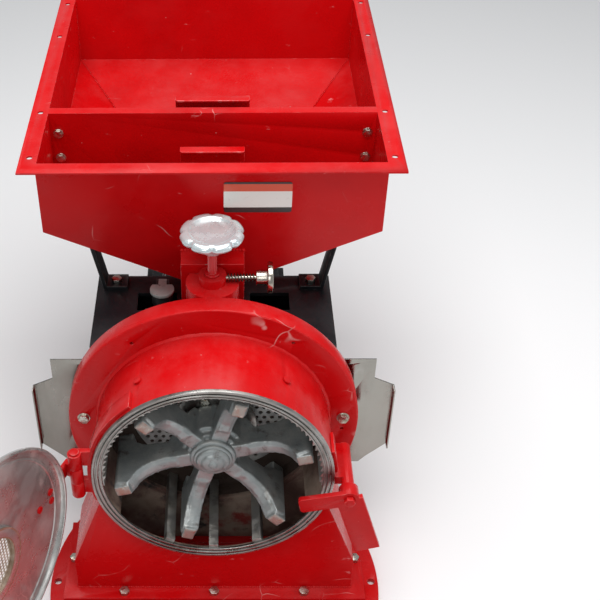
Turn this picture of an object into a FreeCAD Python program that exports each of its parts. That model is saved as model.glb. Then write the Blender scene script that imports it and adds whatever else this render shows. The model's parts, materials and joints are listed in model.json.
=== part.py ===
import FreeCAD
import Part

import math
import os

from FreeCAD import Vector

# A pulverising mill: a drum with a beater rotor, a door in front, a discharge housing on a round
# base plate, a motor behind, and a divided hopper above that feeds the drum through a screw valve.
# Millimetres. X is to the right, Y to the back, Z up. The origin is the centre of the base
# plate's underside. The shaft runs along Y.

FIT = 0.05  # radial running clearance
GAP = 0.3  # between curved faces of separate pieces
HOLE_CLEARANCE = 0.4  # radial, round a fastener

# Base plate and the shaft's height over it
base_r = 240.0
base_t = 8.0
base_bolt_pcd = 460.0
base_bolt_count = 4
base_bolt_hole_r = 5.5
shaft_z = 251.0
discharge_x = 120.0
discharge_front = -2.0
discharge_back_gap = 16.0

# Chamber drum
drum_front = -19.0
drum_length = 107.0
drum_r = 160.0
drum_wall = 8.0
seat_t = 5.0
seat_inner_r = 146.0
groove_w = 2.0
groove_depth = 1.5
outlet_half_angle = 57.0
outlet_lip = 7.0

# Rear flange
flange_r = 200.0
flange_depth = 27.0
flange_face_t = 8.0
flange_rim_t = 6.0
back_wall_t = 6.0
back_hole_r = 44.0
flange_bolt_r = 179.0
feed_window_x = 36.0
feed_window_sill = 5.0

# Liner, grate and screen
liner_t = 7.0
tooth_height = 3.5
tooth_count = 44
liner_half_angle = 97.0
liner_end_gap = 19.0
grate_bar_w = 13.0
grate_bar_h = 10.0
grate_bar_angle = 25.0
screen_r = 115.0
screen_t = 2.0
screen_hole_r = 3.0
screen_pitch = 11.0
screen_bore_r = 34.0

# Rotor
arm_count = 6
arm_start_angle = 14.0
beater_r = 137.0
beater_depth = 22.0
beater_w = 20.0
beater_inset = 6.0
beater_end_gap = 3.0
arm_t = 14.0
arm_web_depth = 32.0
hub_r = 31.0
hub_before_back = 91.0
hub_length = 58.0
hub_cap_r = 26.0
hub_cap_collar_t = 5.0
hub_disc_r = 60.0
hub_disc_t = 6.0
hub_disc_bolt_r = 48.0
hub_disc_bolts = 6

# Shaft, bearings and their housing
shaft_r = 17.5
shaft_nose_r = 12.5
shaft_reach = 188.0
key_w = 8.0
key_h = 7.0
key_length = 36.0
bearing_r = 40.0
bearing_w = 20.0
bearing_ring_t = 5.5
bearing_front_behind = 25.0
bearing_rear_behind = 133.0
ball_count = 9
housing_r = 52.0
housing_length = 158.0
housing_nose_r = 43.0
cover_t = 8.0
cover_r = 48.0
seal_w = 4.0
seal_wall = 8.5

# Coupling
coupling_r = 36.0
coupling_half_t = 20.0
spider_t = 8.0

# Motor
motor_r = 74.0
motor_fin_h = 10.0
motor_fin_t = 3.0
motor_fin_count = 30
motor_behind = 221.0
motor_shield_t = 14.0
motor_body_length = 206.0
motor_shaft_r = 12.0
motor_wall = 8.0
stator_bore_r = 42.0
motor_core_length = 120.0
fan_r = 62.0
cowl_length = 48.0
cowl_t = 2.0
foot_w = 44.0
foot_t = 10.0
motor_over_table = 6.0

# Stand
table_t = 8.0
table_half_w = 165.0
table_narrow_half_w = 110.0
table_front_behind = 23.0
table_step_behind = 177.0
rail_w = 30.0
rail_h = 40.0
rail_x = 120.0
rail_reach = 545.0
pad_length = 60.0
strut_w = 25.0
strut_x = 60.0
post_w = 30.0

# Cabinet
cabinet_top_z = 351.0
cabinet_top_t = 6.0
cabinet_half_w = 168.0
cabinet_reach = 175.0
cabinet_wall = 3.0
shaft_way_gap = 8.0
panel_behind = 16.0
panel_t = 2.0
panel_half_w = 224.0
panel_top = 329.0
panel_bottom = 125.0
ear_reach = 29.0
ear_top = 294.0
ear_bottom = 137.0
ear_chamfer = 14.0
panel_hole_r = 64.0
window_inner = 52.0
window_outer = 108.0
window_behind = 96.0
window_depth = 39.0

# Hopper
hopper_half_w = 221.5
hopper_behind = 88.0
hopper_depth = 490.0
hopper_rim_z = 597.0
hopper_wall_h = 104.0
hopper_t = 2.5
rim_w = 23.0
outlet_half_w = 42.0
outlet_depth = 169.0
outlet_z = 411.0
rim_hole_r = 4.0
rim_hole_x = 232.0
rim_hole_inset = 14.0
rim_hole_pitch = 115.0
divider_inset = 125.0
divider_fold = 15.0
divider_t = 2.5
divider_drop = 64.0

# Gates
gate_t = 3.0
blade_half_w = 38.0
front_gate_inset = 78.0
front_gate_half_w = 43.0
front_gate_top = 572.0
rear_gate_inset = 163.0
rear_gate_half_w = 51.0
rear_gate_top = 601.0
gate_lip = 11.0
gate_head_h = 22.0
guide_w = 9.0

# Chute, column and valve
chute_wall = 3.0
chute_top = 365.0
chute_over_housing = 2.0
chute_tail_drop = 13.0
column_behind_valve = 18.0
column_top = 463.0
valve_behind = 1.0
valve_r = 35.0
valve_bore_r = 25.0
valve_top = 448.0
valve_roof_t = 14.0
boss_r = 18.0
boss_h = 13.0
spindle_r = 6.25
spindle_bottom = 397.0
plug_r = 24.7
plug_h = 34.0
plug_z = 376.0
wheel_r = 41.5
wheel_z = 519.0
wheel_t = 12.0
wheel_lobes = 8
wheel_dish = 5.0
wheel_socket = 8.0
wheel_hub_r = 13.0
wheel_hub_h = 21.0

# Lock screw
lock_z = 455.0
lock_screw_r = 3.0
spring_r = 5.6
spring_wire_r = 0.9
spring_turns = 9
knob_hub_r = 10.5
knob_hub_start = 57.0
knob_disc_start = 72.0
knob_disc_r = 21.0
knob_disc_t = 7.0

# Oil cup
cup_x = -72.0
cup_behind = 111.0
cup_r = 15.0
cup_h = 22.0
lid_r = 17.0
lid_t = 4.0
pipe_r = 4.0

# Door
hinge_x = -179.0
hinge_y = -14.0
hinge_low = 219.0
hinge_high = 297.0
barrel_r = 9.0
pin_r = 4.0
door_r = 162.0
door_t = 2.0
door_rim_depth = 10.0
door_seat_gap = 1.0
door_open_angle = -116.0
vent_hole_r = 48.0
vent_ring_r = 60.0
vent_ring_h = 5.0
strap_h = 26.0
strap_t = 4.0

# Latch
latch_x = 178.0
latch_z = 240.0
latch_bar_r = 8.5
latch_bar_front = -24.0
latch_bar_back = 52.0
lever_t = 7.0
lever_y = -44.0
arm_reach = 66.0
arm_h = 24.0
arm_tilt = 12.0
handle_w = 35.0
handle_length = 106.0
handle_tilt = 17.0


# Fasteners, foot flange, inspection cap and discharge housing
M8_ACROSS = 13.0
foot_flange_t = 6.0
foot_flange_x = 218.0
foot_flange_front = -35.0
foot_flange_reach = 18.0
foot_bolt_x = 130.0
foot_bolt_front = -24.0
foot_bolt_inset = 10.0
foot_side_x = 208.0
foot_side_y = 36.0
cap_x = -104.0
cap_y = -68.0
cap_r = 27.5
housing_t = 4.0
housing_half_w = 198.0
housing_shoulder_z = 74.0
housing_top_z = 200.0
housing_top_half_w = 153.0

# Small screws, terminal box, hopper legs, divider brackets and cup lid
SCREW_R = 3.0
liner_screw_y = 33.0
liner_screw_angles = (54.0, 126.0)
terminal_half_x = 34.0
terminal_h = 26.0
leg_t = 6.0
leg_depth = 30.0
leg_foot_x = 152.0
leg_top_x = 166.0
leg_inset = 54.0
foot_reach = 28.0
bracket_w = 18.0
bracket_h = 70.0
bracket_t = 3.0
ear_gap = 6.0
ear_t = 3.0
lid_pin_r = 1.5

# Places that follow from the sizes above
flange_front = drum_front + drum_length
flange_back = flange_front + flange_depth
liner_length = drum_length - liner_end_gap
beater_front = drum_front + beater_inset
beater_length = drum_length - beater_inset - beater_end_gap
hub_front = flange_back - hub_before_back
shaft_end = flange_back + shaft_reach
bearing_front_y = flange_back + bearing_front_behind
bearing_rear_y = flange_back + bearing_rear_behind
seal_r = shaft_r + seal_wall
motor_fin_r = motor_r + motor_fin_h
motor_bore_r = motor_r - motor_wall
motor_front = flange_back + motor_behind
shaft_over_table = motor_fin_r + motor_over_table
table_front = flange_back + table_front_behind
table_step = flange_back + table_step_behind
rail_back = flange_back + rail_reach
cabinet_back = flange_back + cabinet_reach
panel_y = flange_back + panel_behind
window_front = flange_back + window_behind
window_back = window_front + window_depth
hopper_front = flange_back + hopper_behind
outlet_back = hopper_front + outlet_depth
rim_hole_front = hopper_front + rim_hole_inset
divider_y = hopper_front + divider_inset
front_gate_y = hopper_front + front_gate_inset
rear_gate_y = hopper_front + rear_gate_inset
valve_y = flange_back + valve_r + valve_behind
column_front = valve_y + column_behind_valve
cup_y = flange_back + cup_behind
leg_y = hopper_front + leg_inset
foot_flange_back = flange_front + foot_flange_reach
foot_bolt_back = foot_flange_back - foot_bolt_inset
discharge_back = flange_front - discharge_back_gap
table_top = shaft_z - shaft_over_table
hopper_back = hopper_front + hopper_depth
hopper_fold_z = hopper_rim_z - hopper_wall_h
rail_top = base_t + rail_h
chute_low = shaft_z + housing_r + chute_over_housing

# Radii and heights that follow from them
M8_R = M8_ACROSS / 3.4
liner_outer_r = drum_r - drum_wall - GAP
liner_inner_r = liner_outer_r - liner_t
nose_start = hub_front - 4.0
rotor_back = hub_front + hub_length
coupling_start = shaft_end - coupling_half_t + 1
spider_start = coupling_start + coupling_half_t
motor_half_start = spider_start + spider_t
terminal_z = shaft_z + motor_fin_r
terminal_y0 = motor_front + motor_shield_t + 62.0
terminal_y1 = terminal_y0 + 86.0
chute_half_w = outlet_half_w
bracket_top = hopper_rim_z - 14.0
lid_pivot_y = cup_y + cup_r + 5.0
lid_z = cabinet_top_z + cup_h + GAP
door_inner_y = drum_front - door_seat_gap
knuckle_third = (hinge_high - hinge_low) / 3.0

AXIS = Vector(0, 0, shaft_z)
ALONG_Y = Vector(0, 1, 0)
ALONG_X = Vector(1, 0, 0)
UP = Vector(0, 0, 1)


def box(x0, x1, y0, y1, z0, z1):
    return Part.makeBox(x1 - x0, y1 - y0, z1 - z0, Vector(x0, y0, z0))


def rod_y(r, y0, y1, x=0.0, z=shaft_z):
    return Part.makeCylinder(r, y1 - y0, Vector(x, y0, z), ALONG_Y)


def ring_y(r_out, r_in, y0, y1, x=0.0, z=shaft_z):
    return rod_y(r_out, y0, y1, x, z).cut(rod_y(r_in, y0 - 1, y1 + 1, x, z))


def rod_z(r, z0, z1, x=0.0, y=0.0):
    return Part.makeCylinder(r, z1 - z0, Vector(x, y, z0), UP)


def rod_x(r, x0, x1, y=0.0, z=0.0):
    return Part.makeCylinder(r, x1 - x0, Vector(x0, y, z), ALONG_X)


def hex_prism(across, height, centre, direction):
    points = []
    for k in range(7):
        angle = math.radians(60 * k)
        reach = across / math.sqrt(3)
        points.append(Vector(reach * math.cos(angle), reach * math.sin(angle), 0))
    prism = Part.Face(Part.makePolygon(points)).extrude(Vector(0, 0, height))
    prism.Placement = FreeCAD.Placement(centre, FreeCAD.Rotation(UP, direction))
    return prism


def plate(points, start, travel):
    corners = [Vector(*p) for p in points]
    corners.append(corners[0])
    face = Part.Face(Part.makePolygon(corners))
    face.translate(start)
    return face.extrude(travel)


def profile_x(points, x0, x1):
    """A prism along X from points given as (y, z)."""
    return plate([(0, y, z) for y, z in points], Vector(x0, 0, 0), Vector(x1 - x0, 0, 0))


def profile_y(points, y0, y1):
    """A prism along Y from points given as (x, z)."""
    return plate([(x, 0, z) for x, z in points], Vector(0, y0, 0), Vector(0, y1 - y0, 0))


def fuse(shapes):
    whole = shapes[0].fuse(shapes[1:])
    return whole.removeSplitter()


def cut_all(shape, tools):
    return shape.cut(Part.makeCompound(tools))


def turned(shape, angle, centre=AXIS, direction=ALONG_Y):
    copy = shape.copy()
    copy.rotate(centre, direction, angle)
    return copy


def around(shape, count, start=0.0):
    """Copies of a shape spread evenly round the shaft, counter-clockwise seen from the front."""
    return [turned(shape, -(start + 360.0 * k / count)) for k in range(count)]


def at_angle(radius, angle):
    """Height and side of a point round the shaft, with the angle from +X towards +Z."""
    a = math.radians(angle)
    return radius * math.cos(a), shaft_z + radius * math.sin(a)


def cap_bolt_z(x, y, seat_z, length, across=13.0, head=6.0):
    """A hex bolt that stands on a seat and reaches down through it."""
    return fuse([
        hex_prism(across, head, Vector(x, y, seat_z), UP),
        rod_z(across / 3.4, seat_z - length, seat_z, x, y),
    ])


def cap_bolt_y(x, z, seat_y, length, across=13.0, head=6.0):
    """A hex bolt whose head faces the front."""
    return fuse([
        hex_prism(across, head, Vector(x, seat_y, z), Vector(0, -1, 0)),
        rod_y(across / 3.4, seat_y, seat_y + length, x, z),
    ])


def save(name, shape):
    shape.exportStep("parts/" + name + ".step")
    print(name, len(shape.Solids), round(shape.Volume))


def save_group(name, shapes):
    save(name, Part.makeCompound(shapes))


# Base and discharge


def foot_bolt_places():
    rows = [(x, y) for y in (foot_bolt_front, foot_bolt_back) for x in (-foot_bolt_x, 0.0, foot_bolt_x)]
    return rows + [(-foot_side_x, foot_side_y), (foot_side_x, foot_side_y)]


def base_bolt_places():
    places = []
    for k in range(base_bolt_count):
        a = math.radians(360.0 * k / base_bolt_count)
        places.append((base_bolt_pcd / 2 * math.cos(a), base_bolt_pcd / 2 * math.sin(a)))
    return places


def base_plate():
    holes = [rod_z(base_bolt_hole_r, -1, base_t + 1, x, y) for x, y in base_bolt_places()]
    holes += [rod_z(M8_R + HOLE_CLEARANCE, -1, base_t + 1, x, y) for x, y in foot_bolt_places()]
    holes.append(box(-discharge_x, discharge_x, discharge_front, discharge_back, -1, base_t + 1))
    holes.append(rod_z(cap_r - 6, -1, base_t + 1, cap_x, cap_y))
    return cut_all(rod_z(base_r, 0, base_t), holes)


def inspection_cap():
    disc = rod_z(cap_r, base_t, base_t + 5, cap_x, cap_y)
    disc = disc.makeFillet(1.5, [e for e in disc.Edges if e.BoundBox.ZMin > base_t + 4])
    spigot = rod_z(cap_r - 6 - HOLE_CLEARANCE, base_t - 5, base_t, cap_x, cap_y)
    return fuse([disc, spigot])


def housing_outline(inset):
    return [
        (-housing_half_w + inset, base_t),
        (-housing_half_w + inset, housing_shoulder_z),
        (-housing_top_half_w + inset, housing_top_z),
        (housing_top_half_w - inset, housing_top_z),
        (housing_half_w - inset, housing_shoulder_z),
        (housing_half_w - inset, base_t),
    ]


def discharge_housing():
    front = drum_front + seat_t
    shell = profile_y(housing_outline(0), front, flange_front)
    flange = box(-foot_flange_x, foot_flange_x, foot_flange_front, foot_flange_back,
                 base_t, base_t + foot_flange_t)
    tools = [
        profile_y(housing_outline(housing_t), front + housing_t, flange_front - housing_t),
        rod_y(drum_r + GAP, front - 1, flange_front + 1),
        box(-housing_half_w + housing_t, housing_half_w - housing_t, front + housing_t,
            flange_front - housing_t, base_t - 1, base_t + foot_flange_t + 1),
    ]
    for x, y in foot_bolt_places():
        tools.append(rod_z(M8_R + HOLE_CLEARANCE, base_t - 1, base_t + foot_flange_t + 1, x, y))
    return cut_all(fuse([shell, flange]), tools)


def foot_bolts():
    seat = base_t + foot_flange_t
    return [cap_bolt_z(x, y, seat, seat - 1, M8_ACROSS) for x, y in foot_bolt_places()]


# Chamber


def sector(r, half_angle, y0, y1, middle):
    """A wedge of a cylinder round the shaft, about the given middle angle."""
    wedge = Part.makeCylinder(r, y1 - y0, Vector(0, y0, shaft_z), ALONG_Y, 2 * half_angle)
    # the wedge starts at +Z and turns towards +X, so its middle lies half_angle from +Z
    return turned(wedge, 90.0 - middle - half_angle)


def chamber_drum():
    front = drum_front + seat_t
    tube = ring_y(drum_r, drum_r - drum_wall, front, flange_front)
    opening = sector(drum_r + 5, outlet_half_angle, front + outlet_lip, flange_front - outlet_lip, 270.0)
    tools = [opening]
    for angle in liner_screw_angles:
        tools.append(liner_screw_hole(angle))
    return cut_all(tube, tools)


def liner_screw_hole(angle):
    return radial_rod(SCREW_R + 0.2, liner_inner_r - 6, drum_r + 5, angle, liner_screw_y)


def radial_rod(r, r0, r1, angle, y):
    a = math.radians(angle)
    direction = Vector(math.cos(a), 0, math.sin(a))
    return Part.makeCylinder(r, r1 - r0, Vector(0, y, shaft_z) + direction * r0, direction)


def door_seat():
    ring = ring_y(drum_r, seat_inner_r, drum_front, drum_front + seat_t)
    grooves = []
    for r in (drum_r - 3.5, drum_r - 8.0):
        grooves.append(ring_y(r, r - groove_w, drum_front - 1, drum_front + groove_depth))
    return cut_all(ring, grooves)


def rear_flange():
    disc = rod_y(flange_r, flange_front, flange_back)
    disc = disc.makeFillet(2.0, [e for e in disc.Edges if e.BoundBox.YMax < flange_front + 0.1
                                 and e.BoundBox.XLength > 2 * flange_r - 1])
    chamber_r = drum_r - drum_wall
    tools = [
        rod_y(chamber_r, flange_front - 1, flange_back - back_wall_t),
        ring_y(flange_r - flange_rim_t, chamber_r + flange_face_t, flange_front + flange_face_t,
               flange_back + 1),
        rod_y(back_hole_r + HOLE_CLEARANCE, flange_front, flange_back + 1),
        box(-feed_window_x, feed_window_x, flange_front, flange_back + 1,
            chute_low + feed_window_sill, chute_top - feed_window_sill),
    ]
    for x, z in flange_bolt_places():
        tools.append(rod_y(M8_R + HOLE_CLEARANCE, flange_front - 1, flange_back + 1, x, z))
    for angle in (176.0, -4.0, 126.0, 54.0):
        x, z = at_angle(flange_bolt_r, angle)
        tools.append(rod_y(2.5, flange_front - 1, flange_back + 1, x, z))
    return cut_all(disc, tools)


def flange_bolt_places():
    return [at_angle(flange_bolt_r, angle) for angle in (3.0, 177.0)]


def flange_bolts():
    bolts = []
    for x, z in flange_bolt_places():
        back = flange_front + flange_face_t
        bolts.append(fuse([
            cap_bolt_y(x, z, flange_front, flange_face_t + 12, M8_ACROSS),
            hex_prism(M8_ACROSS, 7.0, Vector(x, back, z), ALONG_Y),
        ]))
    return bolts


def liner():
    front = drum_front + seat_t + 1
    back = front + liner_length
    ring = ring_y(liner_outer_r, liner_inner_r, front, back)
    step = 360.0 / (tooth_count * 2)
    teeth = []
    for k in range(tooth_count * 2):
        a0 = math.radians(k * step)
        a1 = math.radians((k + 0.9) * step)
        foot = liner_inner_r + 1
        tip = liner_inner_r - tooth_height
        points = [(foot * math.cos(a0), shaft_z + foot * math.sin(a0)),
                  (tip * math.cos(a0), shaft_z + tip * math.sin(a0)),
                  (foot * math.cos(a1), shaft_z + foot * math.sin(a1))]
        teeth.append(profile_y(points, front, back))
    upper = sector(liner_outer_r + 2, liner_half_angle, front - 1, back + 1, 90.0)
    kept = []
    for k, tooth in enumerate(teeth):
        middle = (k + 0.5) * step
        off = abs((middle - 90.0 + 180.0) % 360.0 - 180.0)
        if off < liner_half_angle - step:
            kept.append(tooth)
    half_ring = ring.common(upper)
    whole = half_ring.fuse(kept)
    return cut_all(whole, [liner_screw_hole(angle) for angle in liner_screw_angles])


def liner_screws():
    screws = []
    for angle in liner_screw_angles:
        shank = radial_rod(SCREW_R, liner_inner_r + 1, drum_r + GAP, angle, liner_screw_y)
        head = radial_rod(5.5, drum_r + GAP, drum_r + GAP + 3.0, angle, liner_screw_y)
        screws.append(fuse([shank, head]))
    return screws


def grate_bars():
    bars = []
    outer = liner_outer_r - 1
    for angle in (-grate_bar_angle, 0.0, grate_bar_angle):
        bar = box(-grate_bar_w / 2, grate_bar_w / 2, drum_front + seat_t, flange_back - back_wall_t,
                  shaft_z - outer, shaft_z - outer + grate_bar_h)
        bars.append(turned(bar, angle))
    return bars


def back_screen():
    y0 = flange_back - back_wall_t - screen_t
    wires = [Part.Wire(Part.makeCircle(screen_r, Vector(0, y0, shaft_z), ALONG_Y))]
    wires.append(Part.Wire(Part.makeCircle(screen_bore_r + 12, Vector(0, y0, shaft_z), ALONG_Y)))
    rows = int(screen_r / screen_pitch) + 2
    for row in range(-rows, rows + 1):
        for column in range(-rows, rows + 1):
            x = (column + 0.5 * (row % 2)) * screen_pitch
            z = row * screen_pitch * math.sqrt(3) / 2
            r = math.hypot(x, z)
            if screen_bore_r + 18 < r < screen_r - 6:
                centre = Vector(x, y0, shaft_z + z)
                wires.append(Part.Wire(Part.makeCircle(screen_hole_r, centre, ALONG_Y)))
    faces = [Part.Face(w) for w in wires]
    sheet = faces[0].cut(Part.makeCompound(faces[1:]))
    return sheet.extrude(Vector(0, screen_t, 0))


# Rotor and shaft


def rotor_casting():
    back = beater_front + beater_length
    pieces = [rod_y(hub_r, hub_front, rotor_back)]
    inner = beater_r - beater_depth
    web_back = hub_front + arm_web_depth
    bar = box(-beater_w / 2, beater_w / 2, beater_front, back, shaft_z + inner, shaft_z + beater_r)
    bar = bar.common(rod_y(beater_r, beater_front - 1, back + 1))
    side = [
        (hub_front + 4, shaft_z + hub_r - 6),
        (hub_front + 4, shaft_z + hub_r + 16),
        (hub_front + 9, shaft_z + inner - 30),
        (hub_front + 4, shaft_z + inner - 12),
        (hub_front - 14, shaft_z + inner + 4),
        (web_back + 18, shaft_z + inner + 4),
        (web_back + 2, shaft_z + inner - 20),
        (web_back, shaft_z + hub_r - 6),
    ]
    web = profile_x(side, -arm_t / 2, arm_t / 2)
    wide_root = profile_x([
        (hub_front + 10, shaft_z + hub_r - 8),
        (hub_front + 10, shaft_z + hub_r + 14),
        (rotor_back - 8, shaft_z + hub_r + 14),
        (rotor_back - 8, shaft_z + hub_r - 8),
    ], -arm_t / 2 - 4, arm_t / 2 + 4)
    arm = fuse([bar, web, wide_root])
    pieces += [turned(arm, 90.0 - arm_start_angle - 360.0 * k / arm_count) for k in range(arm_count)]
    body = fuse(pieces)
    keyway = box(-key_w / 2, key_w / 2, hub_front + 8, rotor_back + 1, shaft_z,
                 shaft_z + shaft_nose_r + key_h / 2 + 0.2)
    tools = [rod_y(shaft_nose_r + FIT, hub_front - 1, rotor_back + 1), keyway]
    return cut_all(body, tools)


def hub_nut():
    collar = rod_y(hub_r, hub_front - hub_cap_collar_t, hub_front)
    step = rod_y(hub_cap_r, hub_front - hub_cap_collar_t - 4, hub_front - hub_cap_collar_t)
    ball_r = hub_cap_r * 1.15
    centre = Vector(0, hub_front - hub_cap_collar_t - 4 + ball_r * 0.62, shaft_z)
    dome = Part.makeSphere(ball_r, centre)
    dome = dome.common(rod_y(hub_cap_r - 3, hub_front - 40, hub_front - hub_cap_collar_t - 4))
    thread = rod_y(shaft_nose_r + FIT, nose_start, hub_front + 1)
    return fuse([collar, step, dome]).cut(thread)


def hub_disc():
    disc = rod_y(hub_disc_r, rotor_back, rotor_back + hub_disc_t)
    tools = [rod_y(shaft_nose_r + FIT, rotor_back - 1, rotor_back + hub_disc_t + 1)]
    for k in range(hub_disc_bolts):
        x, z = at_angle(hub_disc_bolt_r, 60.0 * k + 44.0)
        tools.append(rod_y(M8_R + HOLE_CLEARANCE, rotor_back - 1, rotor_back + hub_disc_t + 1, x, z))
    return cut_all(disc, tools)


def hub_disc_bolts_group():
    bolts = []
    for k in range(hub_disc_bolts):
        x, z = at_angle(hub_disc_bolt_r, 60.0 * k + 44.0)
        bolts.append(fuse([
            cap_bolt_y(x, z, rotor_back, hub_disc_t + 1, M8_ACROSS, 5.0),
            hex_prism(M8_ACROSS, 5.0, Vector(x, rotor_back + hub_disc_t, z), ALONG_Y),
        ]))
    return bolts


def key_box(grow=0.0):
    return box(-key_w / 2 - grow, key_w / 2 + grow, hub_front + 10, hub_front + 10 + key_length,
               shaft_z + shaft_nose_r - key_h / 2 - grow, shaft_z + shaft_nose_r + key_h / 2)


def mill_shaft():
    shoulder = rotor_back + hub_disc_t
    body = fuse([
        rod_y(shaft_nose_r, nose_start, shoulder),
        rod_y(shaft_r, shoulder, shaft_end),
    ])
    return body.cut(key_box(0.02))


def bearing_ring_outer(y):
    return ring_y(bearing_r, bearing_r - bearing_ring_t, y - bearing_w / 2, y + bearing_w / 2)


def bearing_ring_inner(y):
    inner_r = shaft_r + FIT
    return ring_y(inner_r + bearing_ring_t, inner_r, y - bearing_w / 2, y + bearing_w / 2)


def bearing_balls(y):
    low = shaft_r + FIT + bearing_ring_t
    high = bearing_r - bearing_ring_t
    ball_r = (high - low) / 2 - FIT
    middle = (high + low) / 2
    balls = []
    for k in range(ball_count):
        x, z = at_angle(middle, 360.0 * k / ball_count)
        balls.append(Part.makeSphere(ball_r, Vector(x, y, z)))
    return balls


def bearing_housing():
    front = flange_back
    back = front + housing_length
    tube = rod_y(housing_r, front, back)
    nose = rod_y(housing_nose_r, front - back_wall_t, front + 1)
    foot_top = shaft_z - housing_r + 14
    foot = box(-70, 70, front + 30, back - 4, table_top, table_top + 14)
    web = box(-34, 34, front + 30, back - 4, table_top + 14, foot_top)
    body = fuse([tube, nose, foot, web])
    tools = [
        rod_y(shaft_r + 8, front - back_wall_t - 1, back + 1),
        rod_y(bearing_r + FIT, bearing_front_y - bearing_w / 2, bearing_rear_y + bearing_w / 2),
        rod_y(bearing_r + FIT, bearing_rear_y - bearing_w / 2, back + 1),
        rod_y(seal_r + FIT, front - back_wall_t - 1, front - back_wall_t + seal_w + 1),
    ]
    for x in (-55, 55):
        for y in (front + 44, back - 18):
            tools.append(rod_z(M8_R + HOLE_CLEARANCE, table_top - 1, table_top + 15, x, y))
    tools.append(rod_x(pipe_r + FIT, -housing_r - 5, -bearing_r, cup_y, shaft_z))
    return cut_all(body, tools)


def housing_bolts():
    front = flange_back
    back = front + housing_length
    bolts = []
    for x in (-55, 55):
        for y in (front + 44, back - 18):
            bolts.append(cap_bolt_z(x, y, table_top + 14, 14 + table_t + 8, M8_ACROSS))
    return bolts


def rear_bearing_cover():
    back = flange_back + housing_length
    cover = rod_y(cover_r + 3, back, back + cover_t)
    spigot = ring_y(bearing_r - FIT, shaft_r + 9, bearing_rear_y + bearing_w / 2, back)
    body = fuse([cover, spigot])
    return cut_all(body, [rod_y(seal_r + FIT, back + cover_t - seal_w, back + cover_t + 1),
                          rod_y(shaft_r + 1, bearing_rear_y, back + cover_t + 1)])


def seal(y0):
    return ring_y(seal_r, shaft_r + FIT, y0, y0 + seal_w)


# Coupling and motor


def coupling_half(y0, bore_r, jaw_y0, jaw_angle):
    """A hub with three jaws that reach into the rubber spider."""
    hub = rod_y(coupling_r, y0, y0 + coupling_half_t - 2)
    pieces = [hub]
    for k in range(3):
        jaw = sector(coupling_r, 18.0, jaw_y0, jaw_y0 + spider_t + 2, jaw_angle + 120.0 * k)
        pieces.append(jaw.cut(rod_y(coupling_r * 0.5, jaw_y0 - 1, jaw_y0 + spider_t + 3)))
    return fuse(pieces).cut(rod_y(bore_r + FIT, y0 - 1, y0 + coupling_half_t + spider_t))


def coupling_spider():
    y0 = spider_start - 1
    pieces = [ring_y(coupling_r * 0.5 - 0.3, 8.0, y0, y0 + spider_t + 2)]
    for k in range(6):
        leg = sector(coupling_r - 1, 11.0, y0, y0 + spider_t + 2, 30.0 + 60.0 * k)
        pieces.append(leg.cut(rod_y(8.0, y0 - 1, y0 + spider_t + 3)))
    return fuse(pieces)


def motor_body():
    y0 = motor_front + motor_shield_t
    y1 = y0 + motor_body_length
    pieces = [rod_y(motor_r, y0, y1)]
    fin = box(-motor_fin_t / 2, motor_fin_t / 2, y0 + 8, y1 - 8, shaft_z + motor_r - 2,
              shaft_z + motor_fin_r)
    for k in range(motor_fin_count):
        angle = 360.0 * (k + 0.5) / motor_fin_count
        up_gap = min(angle, 360.0 - angle)
        if up_gap > 30.0 and abs(angle - 180.0) > 30.0:
            pieces.append(turned(fin, angle))
    pad = box(-34, 34, y0 + 60, y0 + 150, shaft_z + motor_r - 8, shaft_z + motor_fin_r)
    pieces.append(pad)
    for x0, x1 in ((-78.0, -78.0 + foot_w), (78.0 - foot_w, 78.0)):
        foot = box(x0, x1, y0 + 20, y1 - 20, table_top, table_top + foot_t)
        inner = 36.0 if x0 > 0 else -56.0
        web = box(inner, inner + 20.0, y0 + 20, y1 - 20, table_top + foot_t, shaft_z - 46)
        pieces += [foot, web]
    body = fuse(pieces)
    tools = [rod_y(motor_bore_r, y0 - 1, y1 + 1)]
    for x, y in motor_foot_places():
        tools.append(rod_z(M8_R + HOLE_CLEARANCE, table_top - 1, table_top + foot_t + 1, x, y))
    return cut_all(body, tools)


def motor_foot_places():
    y0 = motor_front + motor_shield_t
    y1 = y0 + motor_body_length
    return [(x, y) for x in (-68.0, 68.0) for y in (y0 + 36, y1 - 36)]


def motor_foot_bolts():
    return [cap_bolt_z(x, y, table_top + foot_t, foot_t + table_t + 8, M8_ACROSS)
            for x, y in motor_foot_places()]


def motor_shield(y0, inward):
    disc = rod_y(motor_r + 1, y0, y0 + motor_shield_t)
    disc = disc.makeFillet(4.0, [e for e in disc.Edges if e.BoundBox.YLength < 0.1])
    y_hub = y0 if inward > 0 else y0 - 10
    hub = rod_y(30.0, y_hub, y_hub + motor_shield_t + 10)
    return fuse([disc, hub]).cut(rod_y(motor_shaft_r + FIT, y0 - 20, y0 + motor_shield_t + 20))


def stator():
    y0 = motor_front + motor_shield_t + (motor_body_length - motor_core_length) / 2
    core = ring_y(motor_bore_r - FIT, stator_bore_r, y0, y0 + motor_core_length)
    slots = []
    slot = box(-3, 3, y0 - 1, y0 + motor_core_length + 1, shaft_z + stator_bore_r - 2,
               shaft_z + stator_bore_r + 14)
    for k in range(12):
        slots.append(turned(slot, 30.0 * k))
    return cut_all(core, slots)


def windings():
    y0 = motor_front + motor_shield_t + (motor_body_length - motor_core_length) / 2
    coils = []
    for start in (y0 - 22.0, y0 + motor_core_length):
        coils.append(ring_y(motor_bore_r - 4, stator_bore_r + 3, start, start + 22.0))
    return coils


def motor_core():
    y0 = motor_front + motor_shield_t + (motor_body_length - motor_core_length) / 2
    return ring_y(stator_bore_r - 0.6, motor_shaft_r + FIT, y0, y0 + motor_core_length)


def motor_rear():
    return motor_front + 2 * motor_shield_t + motor_body_length


def motor_shaft():
    return rod_y(motor_shaft_r, motor_half_start + 1, motor_rear() + 30)


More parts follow.
